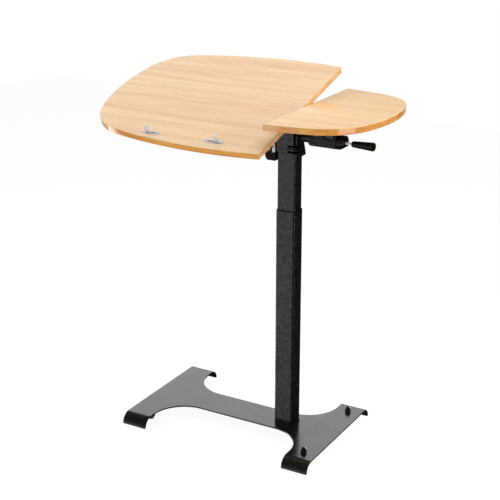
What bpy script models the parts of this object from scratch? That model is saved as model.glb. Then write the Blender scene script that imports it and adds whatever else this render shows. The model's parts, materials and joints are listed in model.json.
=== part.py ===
"""Mobile desk: a low H-shaped base on casters, a telescoping column with a gas spring,
a fixed side top and a main top that tilts about an axle in the column's head."""
import math

import bmesh
import bpy
from mathutils import Euler, Matrix, Vector

for leftover in list(bpy.data.objects):
    bpy.data.objects.remove(leftover, do_unlink=True)

# Fits, in metres like everything below
SEAT_GAP = 0.0003
RUN_GAP = 0.0005

# Casters: the wheel and the stack of plates above it set the height of the base
WHEEL_RADIUS = 0.012
WHEEL_WIDTH = 0.014
WHEEL_ROUNDING = 0.0025
WHEEL_CLEARANCE = 0.003
CASTER_TRAIL = 0.008
CASTER_BEND_CLEARANCE = 0.0035
LEFT_CASTER_SETBACK = 0.0123
LEFT_CASTER_SHIFT = 0.0035
SWIVEL_PLATE_RADIUS = 0.024
SWIVEL_PLATE_THICKNESS = 0.002
KINGPIN_RADIUS = 0.005
KINGPIN_HEAD_THICKNESS = 0.001
FORK_DISC_RADIUS = 0.017
FORK_THICKNESS = 0.002
FORK_LEG_LENGTH = 0.013
FORK_LEG_TAIL = 0.005
AXLE_PIN_RADIUS = 0.002
AXLE_PIN_HEAD = 0.001
AXLE_PIN_HEAD_RADIUS = 0.0032

# Base plate: two bars joined by a beam, measured from the column's axis
PLATE_THICKNESS = 0.004
BASE_LEFT = 0.4057
BASE_RIGHT = 0.1542
BAR_WIDTH = 0.0724
BASE_DEPTH = 0.3708
BEAM_WIDTH = 0.0979
SCALLOP_RADIUS = 0.092
FOOT_CLEARANCE = 0.0094

# Foot brakes on the right-hand casters
PLUNGER_RADIUS = 0.0022
BRAKE_TRAVEL = 0.0012
BRAKE_PIVOT_RISE = 0.0062
BRAKE_CAM_RADIUS = 0.0038
BRAKE_WIDTH = 0.009
BRAKE_EAR_THICKNESS = 0.0016
BRAKE_EAR_LENGTH = 0.008
BRAKE_PIN_RADIUS = 0.0013
BRAKE_TAB_WIDTH = 0.0085
BRAKE_TAB_THICKNESS = 0.0028
BRAKE_TAB_RISE = 0.0085
BRAKE_TAIL_LENGTH = 0.0135
BRAKE_TAIL_WIDTH = 0.0035

# Telescoping column
OUTER_WIDTH = 0.055
OUTER_DEPTH = 0.046
OUTER_CORNER = 0.007
SMALLEST_CORNER = 0.001
OUTER_LENGTH = 0.5952
TUBE_WALL = 0.0015
SLIDE_GAP = 0.00125
INNER_LENGTH = 0.560
INNER_SHOWN = 0.1513
GLIDE_HEIGHT = 0.040
GLIDE_LIP = 0.002
END_BLOCK_HEIGHT = 0.030

# Gas spring inside the column
GAS_ROD_RADIUS = 0.005
GAS_ROD_LENGTH = 0.560
GAS_CYLINDER_RADIUS = 0.0135
GAS_CYLINDER_WALL = 0.002
GAS_CYLINDER_LENGTH = 0.450
GAS_NECK_RADIUS = 0.0055
VALVE_PIN_RADIUS = 0.002
VALVE_SEAT_DEPTH = 0.005

# Head on top of the column
FLANGE_THICKNESS = 0.0105
HEAD_WIDTH = 0.0545
HEAD_DEPTH = 0.0455
HEAD_CORNER = 0.006
HEAD_WALL = 0.0025
HEAD_HEIGHT = 0.0675
NOTCH_HEIGHT = 0.009
NOTCH_WIDTH = 0.021
NOTCH_IN_FLANGE = 0.0025
STRAP_HEIGHT = 0.012
STRAP_THICKNESS = 0.003
STRAP_EAR = 0.0045
STRAP_GUSSET_RISE = 0.026
AXLE_RISE = 0.0292
AXLE_RADIUS = 0.0082
AXLE_SHOULDER = 0.003
AXLE_SHOULDER_RADIUS = 0.011
NECK_BORE = 0.005
NECK_COLLAR_RADIUS = 0.0112

# Release gear: crank over the valve, pull rod through the neck, lever in the housing
CRANK_PLATE_THICKNESS = 0.004
CRANK_ARM = 0.012
CRANK_WIDTH = 0.008
CRANK_DROP = 0.012
CRANK_BAR = 0.005
CRANK_PIN_RADIUS = 0.0014
CRANK_EAR_THICKNESS = 0.0025
CRANK_EAR_LENGTH = 0.010
PULL_ROD_RADIUS = 0.0012
PULL_COLLAR_RADIUS = 0.0028
PULL_COLLAR_LENGTH = 0.003
HOUSING_RADIUS = 0.018
HOUSING_WALL = 0.002
HOUSING_END_WALL = 0.0035
HOUSING_CHAMFER = 0.003
HOUSING_START = 0.0565
HOUSING_LENGTH = 0.074
CAP_LENGTH = 0.021
CAP_BEVEL_LENGTH = 0.016
CAP_BEVEL_RISE = 0.008
CAP_SPIGOT_LENGTH = 0.008
FULCRUM_FROM_HOUSING_END = 0.034
FULCRUM_RISE = 0.007
FULCRUM_BOLT_RADIUS = 0.0025
FULCRUM_HEAD_RADIUS = 0.0072
FULCRUM_HEAD_HEIGHT = 0.004
FULCRUM_BOSS_RADIUS = 0.008
LEVER_LIFT_DEGREES = 7.0
LEVER_HUB_WIDTH = 0.010
LEVER_HUB_WALL = 0.0065
LEVER_ROD_RADIUS = 0.003
LEVER_ROD_SHOWN = 0.0175
GRIP_LENGTH = 0.059
GRIP_NECK_RADIUS = 0.0074
GRIP_END_RADIUS = 0.0108
GRIP_SOCKET = 0.048

# Wooden tops: one outline of long-side, corner and end arcs, split by a straight gap
TOP_LENGTH = 0.761
TOP_DEPTH = 0.463
TOP_THICKNESS = 0.016
TOP_CENTRE = 0.1077
LONG_SIDE_RADIUS = 1.318
CORNER_RADIUS = 0.134
END_RADIUS = 0.401
SPLIT_OFFSET = 0.0475
SPLIT_GAP = 0.004
TOP_EDGE_ROUNDING = 0.0015
AXLE_TO_TOP = 0.0815
TILT_DEGREES = 16.64

# Brackets that carry the tops
BRACKET_THICKNESS = 0.003
SIDE_BRACKET_LENGTH = 0.142
SIDE_BRACKET_DEPTH = 0.160
SIDE_WEB_SPACING = 0.027
SIDE_WEB_LENGTH = 0.062
TILT_PLATE_LENGTH = 0.150
TILT_PLATE_DEPTH = 0.120
TILT_ARM_THICKNESS = 0.005
TILT_ARM_FOOT = 0.045
TILT_ARM_EYE = 0.014
TILT_CHEEK_THICKNESS = 0.0035
TILT_CHEEK_CLEARANCE = 0.0028
TILT_ARM_CLEARANCE = 0.0048
TILT_LUG_REACH = 0.034
TILT_LUG_DROP = 0.008
CLAMP_LENGTH = 0.024
CLAMP_RADIUS = 0.0165
CLAMP_EAR_REACH = 0.028
CLAMP_EAR_THICKNESS = 0.005
CLAMP_SLIT = 0.002

# Tilt stop on the left of the head
STOP_BLOCK_WIDTH = 0.029
STOP_BLOCK_HEIGHT = 0.021
STOP_BLOCK_FRONT = 0.0235
STOP_BLOCK_BACK = 0.016
STOP_BLOCK_DROP = 0.0343
STOP_BLOCK_CLEARANCE = 0.0015
STOP_CHAMFER_WIDTH = 0.0058
STOP_CHAMFER_RISE = 0.0095
STOP_UPRIGHT_HEIGHT = 0.023
STOP_UPRIGHT_DEPTH = 0.014
STOP_SCREW_RADIUS = 0.00275
STOP_SCREW_HEAD_RADIUS = 0.0043
STOP_SCREW_HEAD_HEIGHT = 0.0105
STOP_SCREW_RISE = 0.022
STOP_SCREW_DEPTH = 0.014

# Flip-up stops near the front edge of the main top
LEDGE_PLATE_LENGTH = 0.052
LEDGE_PLATE_WIDTH = 0.014
LEDGE_PLATE_THICKNESS = 0.0024
LEDGE_PLATE_PROUD = 0.0004
LEDGE_SPACING = 0.1765
LEDGE_MIDDLE = 0.1798
LEDGE_FROM_FRONT = 0.032
LEDGE_TAB_WIDTH = 0.0124
LEDGE_TAB_HEIGHT = 0.018
LEDGE_TAB_THICKNESS = 0.0034
LEDGE_TAB_ROUNDING = 0.003
LEDGE_PIVOT_DEPTH = 0.006
LEDGE_PIN_RADIUS = 0.0012
LEDGE_CHEEK_THICKNESS = 0.002
LEDGE_CHEEK_LENGTH = 0.009

ROUND_STEPS = 24
SMALL_STEPS = 12
ARC_STEPS = 8

# Heights that follow from the stack of pieces
PLATE_UNDERSIDE = (2 * WHEEL_RADIUS + WHEEL_CLEARANCE + KINGPIN_HEAD_THICKNESS + RUN_GAP
                   + FORK_THICKNESS + RUN_GAP + SWIVEL_PLATE_THICKNESS + SEAT_GAP)
PLATE_TOP = PLATE_UNDERSIDE + PLATE_THICKNESS
OUTER_TOP = PLATE_TOP + OUTER_LENGTH
FLANGE_BOTTOM = OUTER_TOP + INNER_SHOWN
FLANGE_TOP = FLANGE_BOTTOM + FLANGE_THICKNESS
AXLE_HEIGHT = FLANGE_TOP + AXLE_RISE
TOP_UNDERSIDE = AXLE_TO_TOP - TOP_THICKNESS
LEDGE_FROM_CENTRE = TOP_DEPTH / 2 - LEDGE_FROM_FRONT
BEND_RADIUS = PLATE_TOP - FOOT_CLEARANCE
INNER_WIDTH = OUTER_WIDTH - 2 * TUBE_WALL - 2 * SLIDE_GAP
INNER_DEPTH = OUTER_DEPTH - 2 * TUBE_WALL - 2 * SLIDE_GAP
KINGPIN_HEAD_RADIUS = WHEEL_WIDTH / 2
CASTER_SPREAD = BASE_DEPTH - 2 * (BEND_RADIUS + CASTER_BEND_CLEARANCE + SWIVEL_PLATE_RADIUS)
TILT = math.radians(TILT_DEGREES)
QUARTER_TURN = math.pi / 2
ALONG_X = (0.0, QUARTER_TURN, 0.0)
ALONG_Y = (-QUARTER_TURN, 0.0, 0.0)
FACING_FRONT = (QUARTER_TURN, 0.0, 0.0)
FACING_SIDE = (QUARTER_TURN, 0.0, QUARTER_TURN)

BLACK_COAT = ((0.016, 0.016, 0.017), 0.42, 0.0)
BLACK_PLASTIC = ((0.012, 0.012, 0.013), 0.55, 0.0)
GREY_RUBBER = ((0.045, 0.045, 0.048), 0.75, 0.0)
PLATED_STEEL = ((0.62, 0.60, 0.57), 0.30, 1.0)
SATIN_STEEL = ((0.78, 0.77, 0.75), 0.35, 1.0)
LIGHT_WOOD = ((0.66, 0.42, 0.22), 0.38, 0.0)


def new_collection(name):
    collection = bpy.data.collections.new(name)
    bpy.context.scene.collection.children.link(collection)
    return collection


PARTS = new_collection("mobile_desk")
CUTTERS = new_collection("cutters")


def pivot(name, parent, location, rotation=(0.0, 0.0, 0.0)):
    """An empty that carries pieces; on a moving body it stands on the joint's axis."""
    empty = bpy.data.objects.new(name, None)
    empty.parent = parent
    empty.location = location
    empty.rotation_euler = rotation
    empty.empty_display_size = 0.02
    PARTS.objects.link(empty)
    return empty


def place(solid, name, parent, finish, location=(0.0, 0.0, 0.0), rotation=(0.0, 0.0, 0.0)):
    """Name a solid, give it its own material and stand it in its parent's frame."""
    colour, roughness, metallic = finish
    material = bpy.data.materials.new(name + "_finish")
    material.use_nodes = True
    shader = material.node_tree.nodes["Principled BSDF"]
    shader.inputs["Base Color"].default_value = (*colour, 1.0)
    shader.inputs["Roughness"].default_value = roughness
    shader.inputs["Metallic"].default_value = metallic
    solid.name = name
    solid.data.name = name
    solid.data.materials.clear()
    solid.data.materials.append(material)
    solid.parent = parent
    solid.location = location
    solid.rotation_euler = rotation
    PARTS.objects.link(solid)
    return solid


def object_from_bmesh(shape):
    mesh = bpy.data.meshes.new("solid")
    shape.to_mesh(mesh)
    shape.free()
    return bpy.data.objects.new("solid", mesh)


def evaluated_solid(source):
    """Turn a curve or a modified object into one welded mesh and remove the source."""
    PARTS.objects.link(source)
    depsgraph = bpy.context.evaluated_depsgraph_get()
    mesh = bpy.data.meshes.new_from_object(source.evaluated_get(depsgraph))
    bpy.data.objects.remove(source, do_unlink=True)
    shape = bmesh.new()
    shape.from_mesh(mesh)
    bpy.data.meshes.remove(mesh)
    bmesh.ops.remove_doubles(shape, verts=shape.verts, dist=0.00001)
    bmesh.ops.recalc_face_normals(shape, faces=shape.faces)
    return object_from_bmesh(shape)


def smooth(solid, angle_degrees=35.0):
    solid.data.shade_smooth()
    solid.data.set_sharp_from_angle(angle=math.radians(angle_degrees))
    return solid


def arc(centre_x, centre_y, radius, start, end, steps=ARC_STEPS):
    points = []
    for step in range(steps + 1):
        angle = start + (end - start) * step / steps
        points.append((centre_x + radius * math.cos(angle), centre_y + radius * math.sin(angle)))
    return points


def circle(radius, steps=ROUND_STEPS, centre_x=0.0, centre_y=0.0):
    return arc(centre_x, centre_y, radius, 0.0, 2 * math.pi * (steps - 1) / steps, steps - 1)


def rounded_rectangle(width, depth, radius, centre_x=0.0, centre_y=0.0, steps=4):
    points = []
    for quarter, (side_x, side_y) in enumerate(((1, 1), (-1, 1), (-1, -1), (1, -1))):
        corner_x = centre_x + side_x * (width / 2 - radius)
        corner_y = centre_y + side_y * (depth / 2 - radius)
        start = quarter * QUARTER_TURN
        points += arc(corner_x, corner_y, radius, start, start + QUARTER_TURN, steps)
    return points


def prism(loops, thickness):
    """A flat outline, with any holes, standing from z = 0 to its thickness."""
    curve = bpy.data.curves.new("outline", "CURVE")
    curve.dimensions = "2D"
    curve.fill_mode = "BOTH"
    curve.extrude = thickness / 2
    for loop in loops:
        spline = curve.splines.new("POLY")
        spline.points.add(len(loop) - 1)
        spline.use_cyclic_u = True
        for point, (x, y) in zip(spline.points, loop):
            point.co = (x, y, 0.0, 1.0)
    solid = evaluated_solid(bpy.data.objects.new("outline", curve))
    solid.data.transform(Matrix.Translation((0.0, 0.0, thickness / 2)))
    return solid


def turned(profile, steps=ROUND_STEPS, ring=False):
    """A profile of (radius, height) points, top to bottom on its outer side, turned about Z."""
    mesh = bpy.data.meshes.new("profile")
    edges = [(index, index + 1) for index in range(len(profile) - 1)]
    if ring:
        edges.append((len(profile) - 1, 0))
    mesh.from_pydata([(radius, 0.0, height) for radius, height in profile], edges, [])
    source = bpy.data.objects.new("profile", mesh)
    turn = source.modifiers.new("turn", "SCREW")
    turn.angle = 2 * math.pi
    turn.steps = steps
    turn.render_steps = steps
    turn.use_merge_vertices = True
    turn.merge_threshold = 0.00001
    return smooth(evaluated_solid(source))


def tube_ring(outer, inner, low, high, steps=ROUND_STEPS):
    return turned([(outer, high), (outer, low), (inner, low), (inner, high)], steps, ring=True)


def pin(radius, low, high, steps=SMALL_STEPS):
    return turned([(0.0, high), (radius, high), (radius, low), (0.0, low)], steps)


def box(low, high):
    shape = bmesh.new()
    bmesh.ops.create_cube(shape, size=1.0)
    size = [end - start for start, end in zip(low, high)]
    middle = [(end + start) / 2 for start, end in zip(low, high)]
    bmesh.ops.scale(shape, vec=size, verts=shape.verts)
    bmesh.ops.translate(shape, vec=middle, verts=shape.verts)
    return object_from_bmesh(shape)


def moved(solid, location=(0.0, 0.0, 0.0), rotation=(0.0, 0.0, 0.0)):
    """Turn and shift a solid inside the frame of the piece it belongs to."""
    turn = Euler(rotation).to_matrix().to_4x4()
    solid.data.transform(Matrix.Translation(location) @ turn)
    return solid


def combine(solid, other, operation):
    """Cut or fuse another solid, built in the same frame, with a Boolean modifier."""
    other.parent = solid
    other.hide_render = True
    other.display_type = "WIRE"
    CUTTERS.objects.link(other)
    boolean = solid.modifiers.new(operation.lower(), "BOOLEAN")
    boolean.operation = operation
    boolean.solver = "EXACT"
    boolean.object = other
    return solid


def cut(solid, other):
    return combine(solid, other, "DIFFERENCE")


def fuse(solid, other):
    return combine(solid, other, "UNION")


def round_edges(solid, width, segments=2):
    bevel = solid.modifiers.new("edges", "BEVEL")
    bevel.width = width
    bevel.segments = segments
    bevel.limit_method = "ANGLE"
    bevel.angle_limit = math.radians(60.0)
    return solid


desk = pivot("desk_origin", None, (0.0, 0.0, 0.0))
lift = pivot("column_lift_axis", desk, (0.0, 0.0, 0.0))
tilt = pivot("tilt_axis", lift, (0.0, 0.0, AXLE_HEIGHT), (TILT, 0.0, 0.0))

LEFT_CASTER = -BASE_LEFT + BAR_WIDTH / 2 + LEFT_CASTER_SHIFT
LEFT_SPREAD = CASTER_SPREAD - 2 * LEFT_CASTER_SETBACK
RIGHT_BAR = BASE_RIGHT - BAR_WIDTH / 2
CASTERS = {
    "left_front": (LEFT_CASTER, -LEFT_SPREAD / 2),
    "left_back": (LEFT_CASTER, LEFT_SPREAD / 2),
    "right_front": (RIGHT_BAR, -CASTER_SPREAD / 2),
    "right_back": (RIGHT_BAR, CASTER_SPREAD / 2),
}
BRAKED = ("right_front", "right_back")


def base_outline(half_depth):
    """The flat H of the base, with a round scallop in each inner corner."""
    left, right = -BASE_LEFT, BASE_RIGHT
    left_inner, right_inner = left + BAR_WIDTH, right - BAR_WIDTH
    hollow = BEAM_WIDTH / 2 + SCALLOP_RADIUS
    left_x, right_x = left_inner + SCALLOP_RADIUS, right_inner - SCALLOP_RADIUS
    half = math.pi
    points = [(left, half_depth), (left, -half_depth), (left_inner, -half_depth)]
    points += arc(left_x, -hollow, SCALLOP_RADIUS, half, QUARTER_TURN, 2 * ARC_STEPS)
    points += arc(right_x, -hollow, SCALLOP_RADIUS, QUARTER_TURN, 0.0, 2 * ARC_STEPS)
    points += [(right_inner, -half_depth), (right, -half_depth)]
    points += [(right, half_depth), (right_inner, half_depth)]
    points += arc(right_x, hollow, SCALLOP_RADIUS, 0.0, -QUARTER_TURN, 2 * ARC_STEPS)
    points += arc(left_x, hollow, SCALLOP_RADIUS, -QUARTER_TURN, -half, 2 * ARC_STEPS)
    points.append((left_inner, half_depth))
    return points


def make_base_plate():
    """Cut flat with its developed length, then bent down in a quarter round at both ends."""
    bend_start = BASE_DEPTH / 2 - BEND_RADIUS
    neutral = BEND_RADIUS - PLATE_THICKNESS / 2
    developed = neutral * QUARTER_TURN
    holes = [circle(PLUNGER_RADIUS + RUN_GAP, SMALL_STEPS, *CASTERS[name]) for name in BRAKED]
    flat = prism([base_outline(bend_start + developed)] + holes, PLATE_THICKNESS)
    shape = bmesh.new()
    shape.from_mesh(flat.data)
    bpy.data.objects.remove(flat, do_unlink=True)
    for side in (-1, 1):
        for step in range(ARC_STEPS):
            line = side * (bend_start + developed * step / ARC_STEPS)
            everything = shape.verts[:] + shape.edges[:] + shape.faces[:]
            bmesh.ops.bisect_plane(shape, geom=everything, plane_co=(0.0, line, 0.0),
                                   plane_no=(0.0, 1.0, 0.0), dist=0.000001)
    for vertex in shape.verts:
        past = abs(vertex.co.y) - bend_start
        if past > 0.0:
            angle = past / neutral
            radius = neutral + vertex.co.z - PLATE_THICKNESS / 2
            vertex.co.y = math.copysign(bend_start + radius * math.sin(angle), vertex.co.y)
            vertex.co.z = PLATE_THICKNESS / 2 - neutral + radius * math.cos(angle)
    plate = smooth(object_from_bmesh(shape))
    place(plate, "base_plate", desk, BLACK_COAT, (0.0, 0.0, PLATE_UNDERSIDE))


def make_caster(name, x, y):
    """Swivel plate with its hollow kingpin, fork, axle and wheel of one caster."""
    swivel = pivot("caster_swivel_axis_" + name, desk, (x, y, 0.0))
    plate_top = PLATE_UNDERSIDE - SEAT_GAP
    plate_low = plate_top - SWIVEL_PLATE_THICKNESS
    disc_top = plate_low - RUN_GAP
    disc_low = disc_top - FORK_THICKNESS
    head_top = disc_low - RUN_GAP
    head_low = head_top - KINGPIN_HEAD_THICKNESS
    hole = PLUNGER_RADIUS + RUN_GAP
    profile = [(SWIVEL_PLATE_RADIUS, plate_top), (SWIVEL_PLATE_RADIUS, plate_low),
               (KINGPIN_RADIUS, plate_low), (KINGPIN_RADIUS, head_top),
               (KINGPIN_HEAD_RADIUS, head_top), (KINGPIN_HEAD_RADIUS, head_low),
               (hole, head_low), (hole, plate_top)]
    place(turned(profile, ring=True), "caster_plate_" + name, swivel, PLATED_STEEL)

    leg_inner = WHEEL_WIDTH / 2 + RUN_GAP
    leg_outer = leg_inner + FORK_THICKNESS
    fork = tube_ring(FORK_DISC_RADIUS, KINGPIN_RADIUS + RUN_GAP, disc_low, disc_top)
    for side in (-1, 1):
        near, far = sorted((side * leg_inner, side * leg_outer))
        leg = box((near, CASTER_TRAIL - FORK_LEG_LENGTH / 2, WHEEL_RADIUS - FORK_LEG_TAIL),
                  (far, CASTER_TRAIL + FORK_LEG_LENGTH / 2, disc_top - FORK_THICKNESS / 2))
        fuse(fork, leg)
    axle_hole = pin(AXLE_PIN_RADIUS + SEAT_GAP, -FORK_DISC_RADIUS, FORK_DISC_RADIUS)
    cut(fork, moved(axle_hole, (0.0, CASTER_TRAIL, WHEEL_RADIUS), ALONG_X))
    place(fork, "caster_fork_" + name, swivel, PLATED_STEEL)

    spin = pivot("caster_wheel_axis_" + name, swivel, (0.0, CASTER_TRAIL, WHEEL_RADIUS))
    end = leg_outer + SEAT_GAP
    tip = end + AXLE_PIN_HEAD
    head = AXLE_PIN_HEAD_RADIUS
    axle = turned([(0.0, tip), (head, tip), (head, end), (AXLE_PIN_RADIUS, end),
                   (AXLE_PIN_RADIUS, -end), (head, -end), (head, -tip), (0.0, -tip)], SMALL_STEPS)
    place(moved(axle, rotation=ALONG_X), "caster_axle_" + name, spin, PLATED_STEEL)

    half = WHEEL_WIDTH / 2
    bore = AXLE_PIN_RADIUS + SEAT_GAP
    tread = arc(WHEEL_RADIUS - WHEEL_ROUNDING, half - WHEEL_ROUNDING, WHEEL_ROUNDING,
                QUARTER_TURN, 0.0, 3)
    profile = tread + [(radius, -height) for radius, height in reversed(tread)]
    profile += [(bore, -half), (bore, half)]
    wheel = moved(turned(profile, ring=True), rotation=ALONG_X)
    place(wheel, "caster_wheel_" + name, spin, GREY_RUBBER)


def make_brake(name, x, y):
    """Bracket on the base plate, rocking cam lever and the plunger it pushes on the wheel."""
    place_name = name.split("_")[1]
    brake = pivot("brake_axis_" + place_name, desk, (x, y, PLATE_TOP + BRAKE_PIVOT_RISE))
    floor = SEAT_GAP - BRAKE_PIVOT_RISE
    ear_inner = BRAKE_WIDTH / 2 + RUN_GAP
    ear_outer = ear_inner + BRAKE_EAR_THICKNESS
    ear_top = 2 * BRAKE_PIN_RADIUS
    sole = floor + BRAKE_EAR_THICKNESS
    channel = [(-ear_outer, floor), (ear_outer, floor), (ear_outer, ear_top), (ear_inner, ear_top),
               (ear_inner, sole), (-ear_inner, sole), (-ear_inner, ear_top), (-ear_outer, ear_top)]
    bracket = moved(prism([channel], BRAKE_EAR_LENGTH), (0.0, BRAKE_EAR_LENGTH / 2, 0.0), FACING_FRONT)
    cut(bracket, pin(PLUNGER_RADIUS + RUN_GAP, 2 * floor, sole + RUN_GAP))
    pin_hole = pin(BRAKE_PIN_RADIUS + SEAT_GAP, -2 * ear_outer, 2 * ear_outer)
    cut(bracket, moved(pin_hole, rotation=ALONG_X))
    place(bracket, "brake_bracket_" + place_name, brake, BLACK_COAT)

    half = BRAKE_WIDTH / 2
    lever = moved(pin(BRAKE_CAM_RADIUS, -half, half, ROUND_STEPS), (0.0, 0.0, BRAKE_TRAVEL), ALONG_X)
    fuse(lever, moved(pin(BRAKE_PIN_RADIUS, -ear_outer, ear_outer), rotation=ALONG_X))
    tab_half = BRAKE_TAB_WIDTH / 2
    thick = BRAKE_TAB_THICKNESS / 2
    fuse(lever, box((-tab_half, -thick, 0.0), (tab_half, thick, BRAKE_TAB_RISE)))
    tail_half = BRAKE_TAIL_WIDTH / 2
    fuse(lever, box((-tail_half, 0.0, BRAKE_TRAVEL - thick / 2),
                    (tail_half, BRAKE_TAIL_LENGTH, BRAKE_TRAVEL + thick / 2)))
    place(lever, "brake_lever_" + place_name, brake, BLACK_PLASTIC)

    wheel_top = WHEEL_RADIUS + math.sqrt(WHEEL_RADIUS ** 2 - (CASTER_TRAIL - PLUNGER_RADIUS) ** 2)
    low = wheel_top + BRAKE_TRAVEL + RUN_GAP - PLATE_TOP - BRAKE_PIVOT_RISE
    high = BRAKE_TRAVEL - BRAKE_CAM_RADIUS - SEAT_GAP
    place(pin(PLUNGER_RADIUS, low, high), "brake_plunger_" + place_name, brake, PLATED_STEEL)


def column_outline(inset):
    """The outer tube's section, moved inwards all round."""
    corner = max(OUTER_CORNER - inset, SMALLEST_CORNER)
    return rounded_rectangle(OUTER_WIDTH - 2 * inset, OUTER_DEPTH - 2 * inset, corner)


BORE_INSET = TUBE_WALL
INNER_INSET = TUBE_WALL + SLIDE_GAP
INNER_BORE_INSET = INNER_INSET + TUBE_WALL
INNER_TOP = FLANGE_BOTTOM - SEAT_GAP
INNER_BOTTOM = INNER_TOP - INNER_LENGTH


def make_column():
    foot = PLATE_TOP + SEAT_GAP
    tube = prism([column_outline(0.0), column_outline(BORE_INSET)], OUTER_TOP - foot)
    place(smooth(tube), "outer_tube", desk, BLACK_COAT, (0.0, 0.0, foot))

    rod_hole = circle(GAS_ROD_RADIUS + SEAT_GAP, SMALL_STEPS)
    block = prism([column_outline(BORE_INSET + SEAT_GAP), rod_hole], END_BLOCK_HEIGHT)
    place(block, "column_end_block", desk, PLATED_STEEL, (0.0, 0.0, foot))
    place(pin(GAS_ROD_RADIUS, 0.0, GAS_ROD_LENGTH), "gas_spring_rod", desk, SATIN_STEEL, (0.0, 0.0, foot))

    sleeve = column_outline(BORE_INSET + SEAT_GAP)
    slide = column_outline(INNER_INSET - SEAT_GAP)
    lip_height = GLIDE_LIP - SEAT_GAP
    upper = prism([sleeve, slide], GLIDE_HEIGHT + SEAT_GAP + lip_height / 2)
    lip = prism([column_outline(SEAT_GAP), slide], lip_height)
    fuse(upper, moved(lip, (0.0, 0.0, GLIDE_HEIGHT + SEAT_GAP)))
    place(upper, "upper_glide", desk, BLACK_PLASTIC, (0.0, 0.0, OUTER_TOP - GLIDE_HEIGHT))

    inner = prism([column_outline(INNER_INSET), column_outline(INNER_BORE_INSET)], INNER_LENGTH)
    place(smooth(inner), "inner_tube", lift, BLACK_COAT, (0.0, 0.0, INNER_BOTTOM))
    lower = prism([sleeve, slide], GLIDE_HEIGHT)
    toe = prism([sleeve, column_outline(INNER_BORE_INSET)], 2 * GLIDE_LIP)
    fuse(lower, moved(toe, (0.0, 0.0, -2 * GLIDE_LIP + GLIDE_LIP / 2)))
    lower_foot = INNER_BOTTOM - SEAT_GAP - GLIDE_LIP / 2
    place(lower, "lower_glide", lift, BLACK_PLASTIC, (0.0, 0.0, lower_foot))

    strap_x = OUTER_WIDTH / 2 - INNER_INSET + SEAT_GAP
    face = strap_x + STRAP_THICKNESS
    ear = face + STRAP_EAR
    half = OUTER_DEPTH / 2 - INNER_INSET
    back = half + STRAP_THICKNESS
    strap = box((strap_x, -half, 0.0), (face, back, STRAP_HEIGHT))
    root = face - STRAP_THICKNESS / 2
    gusset = [(root, 0.0), (face, 0.0), (ear, STRAP_HEIGHT / 3), (ear, STRAP_HEIGHT / 2),
              (face, STRAP_HEIGHT + STRAP_GUSSET_RISE), (face, STRAP_HEIGHT / 2), (root, STRAP_HEIGHT / 2)]
    fuse(strap, moved(prism([gusset], STRAP_THICKNESS), (0.0, back, 0.0), FACING_FRONT))
    place(strap, "tube_strap", lift, BLACK_COAT, (0.0, 0.0, INNER_TOP - STRAP_HEIGHT))


def make_gas_cylinder():
    """A hollow cylinder with a guide for the rod below and a valve neck above."""
    top = FLANGE_BOTTOM - SEAT_GAP
    low = top - GAS_CYLINDER_LENGTH
    neck = FLANGE_TOP
    bore = GAS_CYLINDER_RADIUS - GAS_CYLINDER_WALL
    guide = GAS_ROD_RADIUS + RUN_GAP
    seat = VALVE_PIN_RADIUS + RUN_GAP
    wall = 2 * GAS_CYLINDER_WALL
    profile = [(0.0, neck - VALVE_SEAT_DEPTH), (seat, neck - VALVE_SEAT_DEPTH), (seat, neck),
               (GAS_NECK_RADIUS, neck), (GAS_NECK_RADIUS, top), (GAS_CYLINDER_RADIUS, top),
               (GAS_CYLINDER_RADIUS, low), (guide, low), (guide, low + wall), (bore, low + wall),
               (bore, top - wall), (0.0, top - wall)]
    place(turned(profile), "gas_spring_cylinder", lift, BLACK_COAT)


CRANK_HEIGHT = AXLE_HEIGHT - CRANK_DROP
CRANK_X = -CRANK_ARM
CRANK_ARM_LOW = -CRANK_BAR / 2
FULCRUM_X = HOUSING_START + HOUSING_LENGTH - FULCRUM_FROM_HOUSING_END
HOUSING_END = HOUSING_START + HOUSING_LENGTH


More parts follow.
